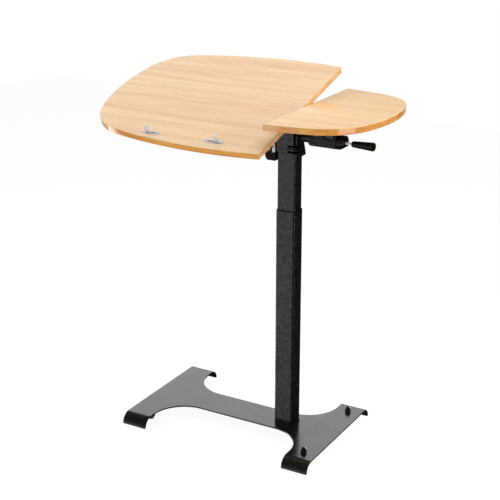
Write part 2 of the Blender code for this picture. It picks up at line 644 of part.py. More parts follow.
def make_head():
    """Flange, head box, axle stub and neck; the release crank works inside the box."""
    flange_outline = rounded_rectangle(HEAD_WIDTH, HEAD_DEPTH, HEAD_CORNER)
    neck_hole = circle(GAS_NECK_RADIUS + SEAT_GAP, SMALL_STEPS)
    flange = prism([flange_outline, neck_hole], FLANGE_THICKNESS)
    right, front = HEAD_WIDTH / 2, -HEAD_DEPTH / 2
    notch_left, notch_back = right - NOTCH_WIDTH, front + NOTCH_WIDTH
    cut(flange, box((notch_left, front - HEAD_WALL, FLANGE_THICKNESS - NOTCH_IN_FLANGE),
                    (right + HEAD_WALL, notch_back, FLANGE_THICKNESS + HEAD_WALL)))
    place(flange, "top_flange", lift, BLACK_COAT, (0.0, 0.0, FLANGE_BOTTOM))

    floor = FLANGE_TOP + SEAT_GAP
    inside_width = HEAD_WIDTH - 2 * HEAD_WALL
    inside_depth = HEAD_DEPTH - 2 * HEAD_WALL
    inside_corner = HEAD_CORNER - HEAD_WALL
    inside = rounded_rectangle(inside_width, inside_depth, inside_corner)
    head = prism([flange_outline, inside], HEAD_HEIGHT)
    axle_hole = pin(AXLE_RADIUS + SEAT_GAP, -HEAD_WIDTH, HEAD_WIDTH, ROUND_STEPS)
    cut(head, moved(axle_hole, (0.0, 0.0, AXLE_HEIGHT - floor), ALONG_X))
    cut(head, box((notch_left, front - HEAD_WALL, -HEAD_WALL),
                  (right + HEAD_WALL, notch_back, NOTCH_HEIGHT)))
    place(head, "head_box", lift, BLACK_COAT, (0.0, 0.0, floor))

    wall_inner = HEAD_WIDTH / 2 - HEAD_WALL - SEAT_GAP
    stub_end = HEAD_WIDTH / 2 + TILT_ARM_CLEARANCE + TILT_ARM_THICKNESS + CLAMP_LENGTH + 3 * RUN_GAP
    shoulder = wall_inner - AXLE_SHOULDER
    cap = stub_end + AXLE_SHOULDER
    stub = turned([(0.0, cap), (AXLE_SHOULDER_RADIUS, cap), (AXLE_SHOULDER_RADIUS, stub_end),
                   (AXLE_RADIUS, stub_end), (AXLE_RADIUS, wall_inner),
                   (AXLE_SHOULDER_RADIUS, wall_inner), (AXLE_SHOULDER_RADIUS, shoulder),
                   (0.0, shoulder)])
    place(moved(stub, rotation=(0.0, -QUARTER_TURN, 0.0)), "axle_stub", lift, PLATED_STEEL,
          (0.0, 0.0, AXLE_HEIGHT))
    neck_end = HOUSING_START + HOUSING_END_WALL
    collar_start = HEAD_WIDTH / 2 + TILT_CHEEK_CLEARANCE + TILT_CHEEK_THICKNESS + RUN_GAP
    collar_end = HOUSING_START - SEAT_GAP
    neck = turned([(AXLE_RADIUS, neck_end), (AXLE_RADIUS, collar_end), (NECK_COLLAR_RADIUS, collar_end),
                   (NECK_COLLAR_RADIUS, collar_start), (AXLE_RADIUS, collar_start),
                   (AXLE_RADIUS, wall_inner), (AXLE_SHOULDER_RADIUS, wall_inner),
                   (AXLE_SHOULDER_RADIUS, shoulder), (NECK_BORE, shoulder),
                   (NECK_BORE, neck_end)], ring=True)
    place(moved(neck, rotation=ALONG_X), "neck_tube", lift, BLACK_COAT, (0.0, 0.0, AXLE_HEIGHT))

    sole = rounded_rectangle(inside_width - 2 * SEAT_GAP, inside_depth - 2 * SEAT_GAP, inside_corner)
    valve_hole = circle(VALVE_PIN_RADIUS + 2 * RUN_GAP, SMALL_STEPS)
    bracket = prism([sole, valve_hole], CRANK_PLATE_THICKNESS)
    ear_top = CRANK_HEIGHT - floor + 3 * CRANK_PIN_RADIUS
    ear_inner = CRANK_WIDTH / 2 + RUN_GAP
    ear_outer = ear_inner + CRANK_EAR_THICKNESS
    for side in (-1, 1):
        near, far = sorted((side * ear_inner, side * ear_outer))
        ear = box((CRANK_X - CRANK_EAR_LENGTH / 2, near, CRANK_PLATE_THICKNESS / 2),
                  (CRANK_X + CRANK_EAR_LENGTH / 2, far, ear_top))
        fuse(bracket, ear)
    pin_hole = pin(CRANK_PIN_RADIUS + SEAT_GAP, -2 * ear_outer, 2 * ear_outer)
    cut(bracket, moved(pin_hole, (CRANK_X, 0.0, CRANK_HEIGHT - floor), ALONG_Y))
    place(bracket, "crank_bracket", lift, SATIN_STEEL, (0.0, 0.0, floor))
    crank_pin = moved(pin(CRANK_PIN_RADIUS, -ear_outer, ear_outer), rotation=ALONG_Y)
    place(crank_pin, "crank_pin", lift, PLATED_STEEL, (CRANK_X, 0.0, CRANK_HEIGHT))


def make_release():
    """Crank, valve pin, pull rod and hand lever that let the gas spring move."""
    crank_axis = pivot("crank_axis", lift, (CRANK_X, 0.0, CRANK_HEIGHT))
    half_bar = CRANK_BAR / 2
    tip = CRANK_ARM + VALVE_PIN_RADIUS + half_bar
    top = CRANK_DROP + half_bar
    outline = [(-half_bar, CRANK_ARM_LOW), (tip, CRANK_ARM_LOW), (tip, half_bar), (half_bar, half_bar),
               (half_bar, top), (-half_bar, top)]
    hole = circle(CRANK_PIN_RADIUS + SEAT_GAP, SMALL_STEPS)
    crank = moved(prism([outline, hole], CRANK_WIDTH), (0.0, CRANK_WIDTH / 2, 0.0), FACING_FRONT)
    rod_hole = pin(PULL_ROD_RADIUS + RUN_GAP, -CRANK_BAR, CRANK_BAR)
    cut(crank, moved(rod_hole, (0.0, 0.0, CRANK_DROP), ALONG_X))
    place(crank, "release_crank", crank_axis, PLATED_STEEL)

    seat_floor = FLANGE_TOP - VALVE_SEAT_DEPTH
    valve_top = CRANK_HEIGHT + CRANK_ARM_LOW - RUN_GAP
    valve_low = seat_floor + VALVE_SEAT_DEPTH / 2
    place(pin(VALVE_PIN_RADIUS, 0.0, valve_top - valve_low), "valve_pin", lift, SATIN_STEEL,
          (0.0, 0.0, valve_low))

    collar_left = CRANK_X - half_bar - RUN_GAP
    collar_right = FULCRUM_X + LEVER_HUB_WALL / 2 + RUN_GAP
    wire, collar = PULL_ROD_RADIUS, PULL_COLLAR_RADIUS
    far_right = collar_right + PULL_COLLAR_LENGTH
    far_left = collar_left - PULL_COLLAR_LENGTH
    rod = turned([(0.0, far_right), (collar, far_right), (collar, collar_right), (wire, collar_right),
                  (wire, collar_left), (collar, collar_left), (collar, far_left), (0.0, far_left)],
                 SMALL_STEPS)
    place(moved(rod, rotation=ALONG_X), "pull_rod", lift, SATIN_STEEL, (0.0, 0.0, AXLE_HEIGHT))

    fulcrum = pivot("lever_axis", lift, (FULCRUM_X, 0.0, AXLE_HEIGHT + FULCRUM_RISE))
    lug = LEVER_HUB_WALL / 2
    socket_near = lug + PULL_COLLAR_LENGTH + LEVER_HUB_WALL
    socket_far = socket_near + LEVER_HUB_WALL
    bridge_low = -FULCRUM_BOLT_RADIUS - LEVER_ROD_RADIUS / 2
    low = -FULCRUM_RISE - LEVER_ROD_RADIUS - LEVER_ROD_RADIUS / 2
    rise = FULCRUM_BOLT_RADIUS + LEVER_ROD_RADIUS / 2
    lug_left = -lug - FULCRUM_BOLT_RADIUS / 2
    outline = [(lug_left, low), (lug, low), (lug, bridge_low), (socket_near, bridge_low),
               (socket_near, low), (socket_far, low), (socket_far, -FULCRUM_BOLT_RADIUS / 2),
               (lug, rise), (lug_left, rise)]
    bolt_hole = circle(FULCRUM_BOLT_RADIUS + SEAT_GAP, SMALL_STEPS)
    lever = prism([outline, bolt_hole], LEVER_HUB_WIDTH)
    moved(lever, (0.0, LEVER_HUB_WIDTH / 2, 0.0), FACING_FRONT)
    wire_hole = pin(PULL_ROD_RADIUS + 2 * RUN_GAP, lug_left - lug, lug + RUN_GAP)
    cut(lever, moved(wire_hole, (0.0, 0.0, -FULCRUM_RISE), ALONG_X))
    grip_start = HOUSING_END + CAP_LENGTH + LEVER_ROD_SHOWN - FULCRUM_X
    rod_end = grip_start + GRIP_SOCKET
    lever_rod = pin(LEVER_ROD_RADIUS, socket_near + LEVER_HUB_WALL / 2, rod_end, ROUND_STEPS)
    fuse(lever, moved(lever_rod, (0.0, 0.0, -FULCRUM_RISE), ALONG_X))
    place(lever, "lever_rod", fulcrum, PLATED_STEEL)

    socket = LEVER_ROD_RADIUS + SEAT_GAP
    depth = GRIP_SOCKET + SEAT_GAP
    crown = arc(GRIP_END_RADIUS / 2, GRIP_LENGTH - GRIP_END_RADIUS / 2, GRIP_END_RADIUS / 2,
                QUARTER_TURN, 0.0, 4)
    shaft_low = GRIP_NECK_RADIUS / 4
    profile = [(0.0, GRIP_LENGTH)] + crown
    profile += [(GRIP_NECK_RADIUS, shaft_low), (GRIP_NECK_RADIUS - shaft_low, 0.0), (socket, 0.0),
                (socket, depth), (0.0, depth)]
    grip = moved(turned(profile), (grip_start, 0.0, -FULCRUM_RISE), ALONG_X)
    place(grip, "lever_grip", fulcrum, BLACK_PLASTIC)


def make_housing():
    """Round housing on the neck with the lever's fulcrum bolt and a slotted cap, bevelled below."""
    bore = HOUSING_RADIUS - HOUSING_WALL
    neck_hole = AXLE_RADIUS + SEAT_GAP
    start, end = HOUSING_START, HOUSING_END
    profile = [(HOUSING_RADIUS, end), (HOUSING_RADIUS, start + HOUSING_CHAMFER),
               (HOUSING_RADIUS - HOUSING_CHAMFER, start), (neck_hole, start),
               (neck_hole, start + HOUSING_END_WALL), (bore, start + HOUSING_END_WALL), (bore, end)]
    housing = moved(turned(profile, ring=True), rotation=ALONG_X)
    boss_face = HOUSING_RADIUS + SEAT_GAP
    boss = pin(FULCRUM_BOSS_RADIUS, bore - HOUSING_WALL / 2, boss_face, ROUND_STEPS)
    fuse(housing, moved(boss, (FULCRUM_X, 0.0, FULCRUM_RISE), FACING_FRONT))
    bolt_hole = pin(FULCRUM_BOLT_RADIUS + SEAT_GAP, -2 * HOUSING_RADIUS, 2 * HOUSING_RADIUS)
    cut(housing, moved(bolt_hole, (FULCRUM_X, 0.0, FULCRUM_RISE), FACING_FRONT))
    place(housing, "lever_housing", lift, BLACK_COAT, (0.0, 0.0, AXLE_HEIGHT))

    head_low = boss_face + SEAT_GAP
    bolt = pin(FULCRUM_BOLT_RADIUS, -HOUSING_RADIUS, head_low + FULCRUM_HEAD_HEIGHT / 2)
    hexagon = pin(FULCRUM_HEAD_RADIUS, head_low, head_low + FULCRUM_HEAD_HEIGHT, 6)
    fuse(bolt, hexagon)
    moved(hexagon, rotation=FACING_FRONT)
    moved(bolt, rotation=FACING_FRONT)
    place(bolt, "fulcrum_bolt", lift, BLACK_COAT, (FULCRUM_X, 0.0, AXLE_HEIGHT + FULCRUM_RISE))

    cap_start = end + RUN_GAP
    cap_end = end + CAP_LENGTH
    spigot = bore - SEAT_GAP
    spigot_end = cap_start - CAP_SPIGOT_LENGTH
    profile = [(0.0, cap_end), (HOUSING_RADIUS, cap_end), (HOUSING_RADIUS, cap_start), (spigot, cap_start),
               (spigot, spigot_end), (0.0, spigot_end)]
    cap = moved(turned(profile), rotation=ALONG_X)
    reach = cap_end - FULCRUM_X
    lifted = reach * math.tan(math.radians(LEVER_LIFT_DEGREES)) + LEVER_ROD_RADIUS + RUN_GAP
    half_slot = LEVER_ROD_RADIUS + RUN_GAP
    cut(cap, box((spigot_end - CAP_LENGTH, -half_slot, -half_slot),
                 (cap_end + CAP_LENGTH, half_slot, lifted)))
    lowest = -HOUSING_RADIUS - SEAT_GAP
    bevelled = lowest + CAP_BEVEL_RISE
    wedge = [(cap_end - CAP_BEVEL_LENGTH, lowest), (cap_end + CAP_BEVEL_LENGTH, lowest),
             (cap_end + CAP_BEVEL_LENGTH, bevelled), (cap_end, bevelled)]
    across = 3 * HOUSING_RADIUS
    cut(cap, moved(prism([wedge], across), (0.0, across / 2, 0.0), FACING_FRONT))
    place(cap, "housing_cap", lift, BLACK_PLASTIC, (0.0, 0.0, AXLE_HEIGHT))


def outline_right_of(cut_x):
    """Both tops' shared outline to the right of a cut, from the back round to the front."""
    half_length, half_depth = TOP_LENGTH / 2, TOP_DEPTH / 2
    end_x = half_length - END_RADIUS
    sunk = LONG_SIDE_RADIUS - half_depth
    span = math.hypot(end_x, sunk)
    to_long = LONG_SIDE_RADIUS - CORNER_RADIUS
    to_end = END_RADIUS - CORNER_RADIUS
    along = (to_long ** 2 - to_end ** 2 + span ** 2) / (2 * span)
    aside = math.sqrt(to_long ** 2 - along ** 2)
    corner_x = (end_x * along + sunk * aside) / span
    corner_y = -sunk + (sunk * along - end_x * aside) / span
    long_angle = math.atan2(corner_y + sunk, corner_x)
    end_angle = math.atan2(corner_y, corner_x - end_x)
    start = math.acos(cut_x / LONG_SIDE_RADIUS)
    back = arc(0.0, -sunk, LONG_SIDE_RADIUS, start, long_angle, 10)
    back += arc(corner_x, corner_y, CORNER_RADIUS, long_angle, end_angle, 10)[1:]
    back += arc(end_x, 0.0, END_RADIUS, end_angle, 0.0, 6)[1:]
    return back + [(x, -y) for x, y in reversed(back[:-1])]


def make_side_top():
    outline = outline_right_of(SPLIT_OFFSET + TOP_CENTRE)
    board = prism([[(x - TOP_CENTRE, y) for x, y in outline]], TOP_THICKNESS)
    smooth(round_edges(board, TOP_EDGE_ROUNDING))
    place(board, "side_top", lift, LIGHT_WOOD, (0.0, 0.0, AXLE_HEIGHT + TOP_UNDERSIDE))

    top = TOP_UNDERSIDE - SEAT_GAP
    low = top - BRACKET_THICKNESS
    half = SIDE_BRACKET_DEPTH / 2
    bracket = box((HOUSING_START, -half, low), (HOUSING_START + SIDE_BRACKET_LENGTH, half, top))
    web_middle = HOUSING_START + HOUSING_LENGTH / 2
    for side in (-1, 1):
        web_y = side * SIDE_WEB_SPACING / 2
        web = box((web_middle - SIDE_WEB_LENGTH / 2, web_y - BRACKET_THICKNESS / 2, 0.0),
                  (web_middle + SIDE_WEB_LENGTH / 2, web_y + BRACKET_THICKNESS / 2,
                   low + BRACKET_THICKNESS / 2))
        fuse(bracket, web)
    saddle = pin(HOUSING_RADIUS + SEAT_GAP, 0.0, 2 * HOUSING_END, ROUND_STEPS)
    cut(bracket, moved(saddle, rotation=ALONG_X))
    boss_room = pin(FULCRUM_BOSS_RADIUS + SEAT_GAP, 0.0, SIDE_BRACKET_DEPTH, ROUND_STEPS)
    cut(bracket, moved(boss_room, (FULCRUM_X, 0.0, FULCRUM_RISE), FACING_FRONT))
    bolt_room = pin(FULCRUM_BOLT_RADIUS + SEAT_GAP, 0.0, SIDE_BRACKET_DEPTH, SMALL_STEPS)
    cut(bracket, moved(bolt_room, (FULCRUM_X, 0.0, FULCRUM_RISE), ALONG_Y))
    place(bracket, "side_bracket", lift, BLACK_COAT, (0.0, 0.0, AXLE_HEIGHT))


def make_tilt_stop():
    """Block on the left of the head with the plated screw that ends the tilt."""
    right = -OUTER_WIDTH / 2 - STOP_BLOCK_CLEARANCE
    left = right - STOP_BLOCK_WIDTH
    top = FLANGE_BOTTOM + FLANGE_THICKNESS - STOP_BLOCK_DROP + STOP_BLOCK_HEIGHT - AXLE_HEIGHT
    low = top - STOP_BLOCK_HEIGHT
    screw_x = -HEAD_WIDTH / 2 - TILT_ARM_CLEARANCE - TILT_ARM_THICKNESS / 2
    screw_y = -STOP_BLOCK_FRONT + STOP_SCREW_HEAD_RADIUS
    outline = [(left, low + STOP_CHAMFER_RISE), (left + STOP_CHAMFER_WIDTH, low), (right, low), (right, top),
               (left, top)]
    depth = STOP_BLOCK_FRONT + STOP_BLOCK_BACK
    block = moved(prism([outline], depth), (0.0, STOP_BLOCK_BACK, 0.0), FACING_FRONT)
    wall = -HEAD_WIDTH / 2 - SEAT_GAP
    fuse(block, box((left, STOP_BLOCK_BACK - STOP_UPRIGHT_DEPTH, top - STOP_BLOCK_HEIGHT / 2),
                    (wall, STOP_BLOCK_BACK, top + STOP_UPRIGHT_HEIGHT)))
    hole = pin(STOP_SCREW_RADIUS + SEAT_GAP, low, top + SEAT_GAP)
    cut(block, moved(hole, (screw_x, screw_y, STOP_BLOCK_HEIGHT - STOP_SCREW_DEPTH)))
    place(block, "tilt_stop_block", lift, BLACK_COAT, (0.0, 0.0, AXLE_HEIGHT))

    shank, head = STOP_SCREW_RADIUS, STOP_SCREW_HEAD_RADIUS
    head_low = SEAT_GAP
    head_top = head_low + STOP_SCREW_HEAD_HEIGHT
    screw = turned([(0.0, STOP_SCREW_RISE), (shank, STOP_SCREW_RISE), (shank, head_top), (head, head_top),
                    (head, head_low), (shank, head_low), (shank, SEAT_GAP - STOP_SCREW_DEPTH),
                    (0.0, SEAT_GAP - STOP_SCREW_DEPTH)])
    place(screw, "tilt_stop_screw", lift, SATIN_STEEL, (screw_x, screw_y, AXLE_HEIGHT + top))


def ledge_places():
    """Middle of each flip-up stop's plate and the side its tab stands on."""
    return {"left": (-LEDGE_MIDDLE - LEDGE_SPACING / 2, -1), "right": (-LEDGE_MIDDLE + LEDGE_SPACING / 2, 1)}


LEDGE_TIP = LEDGE_TAB_HEIGHT + LEDGE_PIVOT_DEPTH
LEDGE_SLOT = LEDGE_TAB_WIDTH / 2 + LEDGE_TIP + 2 * RUN_GAP
LEDGE_TAB_OFFSET = LEDGE_SLOT / 2 - LEDGE_TAB_WIDTH / 2 - RUN_GAP
LEDGE_POCKET_DEPTH = LEDGE_PIVOT_DEPTH + LEDGE_TAB_WIDTH / 2 + 2 * RUN_GAP
LEDGE_CHEEK_INNER = LEDGE_TAB_THICKNESS / 2 + RUN_GAP
LEDGE_CHEEK_OUTER = LEDGE_CHEEK_INNER + LEDGE_CHEEK_THICKNESS


def make_main_top():
    outline = outline_right_of(SPLIT_GAP - SPLIT_OFFSET - TOP_CENTRE)
    board = prism([[(-x - TOP_CENTRE, y) for x, y in outline]], TOP_THICKNESS)
    smooth(round_edges(board, TOP_EDGE_ROUNDING))
    recess = LEDGE_PLATE_THICKNESS - LEDGE_PLATE_PROUD + SEAT_GAP
    for middle, _side in ledge_places().values():
        oval = rounded_rectangle(LEDGE_PLATE_LENGTH + 2 * SEAT_GAP, LEDGE_PLATE_WIDTH + 2 * SEAT_GAP,
                                 LEDGE_PLATE_WIDTH / 2, middle, -LEDGE_FROM_CENTRE)
        cut(board, moved(prism([oval], 2 * recess), (0.0, 0.0, TOP_THICKNESS - recess)))
        half_slot = LEDGE_SLOT / 2 + SEAT_GAP
        half_width = LEDGE_CHEEK_OUTER + SEAT_GAP
        pocket_low = TOP_THICKNESS - LEDGE_POCKET_DEPTH
        cut(board, box((middle - half_slot, -LEDGE_FROM_CENTRE - half_width, pocket_low),
                       (middle + half_slot, -LEDGE_FROM_CENTRE + half_width, 2 * TOP_THICKNESS)))
    place(board, "main_top", tilt, LIGHT_WOOD, (0.0, 0.0, TOP_UNDERSIDE))


def make_ledge(name, middle, side):
    """One flip-up stop: slotted plate with cheeks, hinge pin and the tab that folds into the slot."""
    plate_low = AXLE_TO_TOP + LEDGE_PLATE_PROUD - LEDGE_PLATE_THICKNESS
    half_slot = LEDGE_SLOT / 2
    slot = rounded_rectangle(LEDGE_SLOT, 2 * LEDGE_CHEEK_INNER, RUN_GAP)
    plate = prism([rounded_rectangle(LEDGE_PLATE_LENGTH, LEDGE_PLATE_WIDTH, LEDGE_PLATE_WIDTH / 2 - SEAT_GAP),
                   slot], LEDGE_PLATE_THICKNESS)
    tab_x = side * LEDGE_TAB_OFFSET
    pin_drop = AXLE_TO_TOP - LEDGE_PIVOT_DEPTH - plate_low
    for face in (-1, 1):
        near, far = sorted((face * LEDGE_CHEEK_INNER, face * LEDGE_CHEEK_OUTER))
        cheek = box((tab_x - LEDGE_CHEEK_LENGTH / 2, near, pin_drop - 2 * LEDGE_PIN_RADIUS),
                    (tab_x + LEDGE_CHEEK_LENGTH / 2, far, LEDGE_PLATE_THICKNESS / 2))
        fuse(plate, cheek)
    hole = pin(LEDGE_PIN_RADIUS + SEAT_GAP, -LEDGE_PLATE_WIDTH, LEDGE_PLATE_WIDTH)
    cut(plate, moved(hole, (tab_x, 0.0, pin_drop), ALONG_Y))
    place(plate, "ledge_plate_" + name, tilt, SATIN_STEEL, (middle, -LEDGE_FROM_CENTRE, plate_low))

    hinge = pivot("ledge_axis_" + name, tilt,
                  (middle + tab_x, -LEDGE_FROM_CENTRE, AXLE_TO_TOP - LEDGE_PIVOT_DEPTH))
    pin_half = LEDGE_CHEEK_OUTER
    hinge_pin = moved(pin(LEDGE_PIN_RADIUS, -pin_half, pin_half), rotation=ALONG_Y)
    place(hinge_pin, "ledge_pin_" + name, hinge, PLATED_STEEL)
    half = LEDGE_TAB_WIDTH / 2
    corner = half - LEDGE_TAB_ROUNDING
    high = LEDGE_TIP - LEDGE_TAB_ROUNDING
    outline = arc(0.0, 0.0, half, math.pi, 2 * math.pi)
    outline += arc(corner, high, LEDGE_TAB_ROUNDING, 0.0, QUARTER_TURN, 4)
    outline += arc(-corner, high, LEDGE_TAB_ROUNDING, QUARTER_TURN, math.pi, 4)
    tab_hole = circle(LEDGE_PIN_RADIUS + SEAT_GAP, SMALL_STEPS)
    tab = prism([outline, tab_hole], LEDGE_TAB_THICKNESS)
    moved(tab, (0.0, LEDGE_TAB_THICKNESS / 2, 0.0), FACING_FRONT)
    place(tab, "ledge_tab_" + name, hinge, SATIN_STEEL)


def arm_outline(reach, lug_reach):
    """An arm that hangs from the tilt plate to an eye round the axle, with or without a lug."""
    half_foot = TILT_ARM_FOOT
    eye = TILT_ARM_EYE
    points = [(half_foot, reach), (-half_foot, reach)]
    if lug_reach > 0.0:
        points += [(-eye, eye), (-lug_reach, 0.0), (-lug_reach, -TILT_LUG_DROP)]
        start = math.pi + math.asin(TILT_LUG_DROP / eye)
    else:
        start = math.pi
    points += arc(0.0, 0.0, eye, start, 2 * math.pi, 2 * ARC_STEPS)
    return points


def make_tilt_bracket():
    """Plate under the main top with an arm and a cheek on the axle, and the friction clamp."""
    top = TOP_UNDERSIDE - SEAT_GAP
    low = top - BRACKET_THICKNESS
    cheek_x = HEAD_WIDTH / 2 + TILT_CHEEK_CLEARANCE
    arm_x = -HEAD_WIDTH / 2 - TILT_ARM_CLEARANCE - TILT_ARM_THICKNESS
    plate_right = cheek_x + TILT_CHEEK_THICKNESS
    half = TILT_PLATE_DEPTH / 2
    bracket = box((plate_right - TILT_PLATE_LENGTH, -half, low), (plate_right, half, top))
    eye_hole = circle(AXLE_RADIUS + SEAT_GAP)
    reach = low + BRACKET_THICKNESS / 2
    arm = prism([arm_outline(reach, TILT_LUG_REACH), eye_hole], TILT_ARM_THICKNESS)
    fuse(bracket, moved(arm, (arm_x, 0.0, 0.0), FACING_SIDE))
    cheek = prism([arm_outline(reach, 0.0), eye_hole], TILT_CHEEK_THICKNESS)
    fuse(bracket, moved(cheek, (cheek_x - RUN_GAP, 0.0, 0.0), FACING_SIDE))
    place(bracket, "tilt_bracket", tilt, BLACK_COAT)

    gap = CLAMP_SLIT / 2
    ear = gap + CLAMP_EAR_THICKNESS
    bore = AXLE_RADIUS + SEAT_GAP
    outer_angle = math.asin(ear / CLAMP_RADIUS)
    inner_angle = math.asin(gap / bore)
    outline = [(-CLAMP_EAR_REACH, gap), (-CLAMP_EAR_REACH, ear)]
    outline += arc(0.0, 0.0, CLAMP_RADIUS, math.pi - outer_angle, outer_angle - math.pi, 3 * ARC_STEPS)
    outline += [(-CLAMP_EAR_REACH, -ear), (-CLAMP_EAR_REACH, -gap)]
    outline += arc(0.0, 0.0, bore, inner_angle - math.pi, math.pi - inner_angle, 3 * ARC_STEPS)
    clamp = moved(prism([outline], CLAMP_LENGTH), rotation=FACING_SIDE)
    place(smooth(clamp), "tilt_clamp", tilt, BLACK_COAT, (arm_x - RUN_GAP - CLAMP_LENGTH, 0.0, 0.0))


def stand_on_origin():
    """Shift the whole desk so that the middle of its box is over the origin."""
    bpy.context.view_layer.update()
    depsgraph = bpy.context.evaluated_depsgraph_get()
    low, high = Vector((9.0, 9.0, 9.0)), Vector((-9.0, -9.0, -9.0))
    for solid in PARTS.objects:
        if solid.type == "MESH":
            seen = solid.evaluated_get(depsgraph)
            for vertex in seen.data.vertices:
                spot = seen.matrix_world @ vertex.co
                low = Vector(map(min, low, spot))
                high = Vector(map(max, high, spot))
    desk.location = (-(low.x + high.x) / 2, -(low.y + high.y) / 2, -low.z)


make_base_plate()
for caster_name, (caster_x, caster_y) in CASTERS.items():
    make_caster(caster_name, caster_x, caster_y)
for caster_name in BRAKED:
    make_brake(caster_name, *CASTERS[caster_name])
make_column()
make_gas_cylinder()
make_head()
make_release()
make_housing()
make_side_top()
make_tilt_stop()
make_main_top()
for ledge_name, (ledge_middle, ledge_side) in ledge_places().items():
    make_ledge(ledge_name, ledge_middle, ledge_side)
make_tilt_bracket()
stand_on_origin()
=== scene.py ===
import json
import math

import bmesh
import bpy
from mathutils import Matrix, Vector

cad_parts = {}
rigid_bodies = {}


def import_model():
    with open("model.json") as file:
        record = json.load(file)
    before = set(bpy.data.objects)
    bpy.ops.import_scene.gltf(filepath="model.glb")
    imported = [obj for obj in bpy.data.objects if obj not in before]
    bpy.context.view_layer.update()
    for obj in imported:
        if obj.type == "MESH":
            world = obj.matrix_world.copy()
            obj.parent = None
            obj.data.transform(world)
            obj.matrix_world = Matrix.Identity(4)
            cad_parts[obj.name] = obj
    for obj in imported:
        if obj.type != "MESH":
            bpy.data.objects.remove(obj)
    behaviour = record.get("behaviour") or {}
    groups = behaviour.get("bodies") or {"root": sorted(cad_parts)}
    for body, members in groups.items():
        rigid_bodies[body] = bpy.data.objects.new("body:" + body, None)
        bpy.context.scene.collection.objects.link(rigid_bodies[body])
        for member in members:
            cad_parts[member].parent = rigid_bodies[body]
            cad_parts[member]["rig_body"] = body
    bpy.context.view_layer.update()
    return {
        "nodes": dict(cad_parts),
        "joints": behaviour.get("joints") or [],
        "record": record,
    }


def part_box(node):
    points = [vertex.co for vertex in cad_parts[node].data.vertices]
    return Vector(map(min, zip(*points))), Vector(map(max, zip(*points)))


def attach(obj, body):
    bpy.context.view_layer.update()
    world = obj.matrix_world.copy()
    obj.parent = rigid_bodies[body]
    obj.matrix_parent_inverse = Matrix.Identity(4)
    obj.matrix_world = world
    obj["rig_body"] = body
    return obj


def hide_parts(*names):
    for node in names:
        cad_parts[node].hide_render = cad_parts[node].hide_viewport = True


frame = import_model()
scene = bpy.context.scene
nodes = frame["nodes"]
joints = {joint["name"]: joint for joint in frame["joints"]}
print("frame loaded:", len(nodes), "nodes")


def at(x, y, z):
    return Matrix.Translation((x, y, z))


# places that many pieces share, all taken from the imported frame
tubeLow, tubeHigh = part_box("outer_tube")
columnX = (tubeLow.x + tubeHigh.x) / 2
columnY = (tubeLow.y + tubeHigh.y) / 2
axle = Vector(joints["main_top_tilt"]["pos_m"])
tiltDegrees = -joints["main_top_tilt"]["range_deg"][0]
tiltPlace = at(*axle) @ Matrix.Rotation(math.radians(tiltDegrees), 4, "X")
headPlace = at(columnX, columnY, axle.z)
uprightPlace = at(columnX, columnY, 0.0)
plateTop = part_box("base_plate")[1].z
quarter = math.pi / 2
turnToX = Matrix.Rotation(quarter, 4, "Y")
turnToFront = Matrix.Rotation(quarter, 4, "X")
turnDown = Matrix.Rotation(math.pi, 4, "X")
alongX = headPlace @ turnToX

# materials
noiseRange = (0.3, 0.7)  # nearly all of a noise lies in it
bumpDepth = 0.0003


def setInputs(node, values):
    # a plain value is set, and another node's output is linked
    for label, value in values.items():
        if isinstance(value, bpy.types.NodeSocket):
            node.id_data.links.new(value, node.inputs[label])
        else:
            node.inputs[label].default_value = value


def addNode(tree, kind, inputs=None, **settings):
    node = tree.nodes.new(kind)
    row, column = divmod(len(tree.nodes), 8)
    node.location = (200 * column, -300 * row)
    for key, value in settings.items():
        setattr(node, key, value)
    setInputs(node, inputs or {})
    return node


def newGroup(name, inputs, outputs):
    group = bpy.data.node_groups.new(name, "ShaderNodeTree")
    for label, kind in inputs.items():
        group.interface.new_socket(label, in_out="INPUT", socket_type="NodeSocket" + kind)
    for label in outputs:
        group.interface.new_socket(label, in_out="OUTPUT", socket_type="NodeSocketFloat")
    start = addNode(group, "NodeGroupInput").outputs[:len(inputs)]
    return group, start, addNode(group, "NodeGroupOutput")


def calc(tree, operation, first, second=0.0):
    return addNode(tree, "ShaderNodeMath", {0: first, 1: second}, operation=operation).outputs[0]


def times(tree, first, second):
    return calc(tree, "MULTIPLY", first, second)


def spread(tree, value, fromRange, toRange, kind="LINEAR"):
    labels = ("Value", "From Min", "From Max", "To Min", "To Max")
    inputs = dict(zip(labels, (value, *fromRange, *toRange)))
    return addNode(tree, "ShaderNodeMapRange", inputs, interpolation_type=kind, clamp=True).outputs["Result"]


def stretched(tree, vector, scale):
    return addNode(tree, "ShaderNodeVectorMath", {0: vector, 1: scale}, operation="MULTIPLY").outputs[0]


def noise(tree, vector, detail, rough, distortion=0.0, scale=1.0):
    inputs = {"Vector": vector, "Detail": detail, "Roughness": rough, "Distortion": distortion,
              "Scale": scale}
    return addNode(tree, "ShaderNodeTexNoise", inputs).outputs["Fac"]


def ramp(tree, value, stops):
    node = addNode(tree, "ShaderNodeValToRGB", {"Fac": value})
    while len(node.color_ramp.elements) < len(stops):
        node.color_ramp.elements.new(0.5)
    for element, (position, colour) in zip(node.color_ramp.elements, stops):
        element.position = position
        element.color = (*colour, 1.0)
    return node.outputs["Color"]


def mixColour(tree, factor, first, second):
    inputs = {0: factor, 6: first, 7: (*second, 1.0)}
    return addNode(tree, "ShaderNodeMix", inputs, data_type="RGBA").outputs[2]


def grey(level):
    return (level, level, level)


grainFigure = dict(fine=(2.0, 0.6), slow=(3.0, 0.5), slowScale=0.04, speck=(3.0, 0.7), speckScale=0.45)


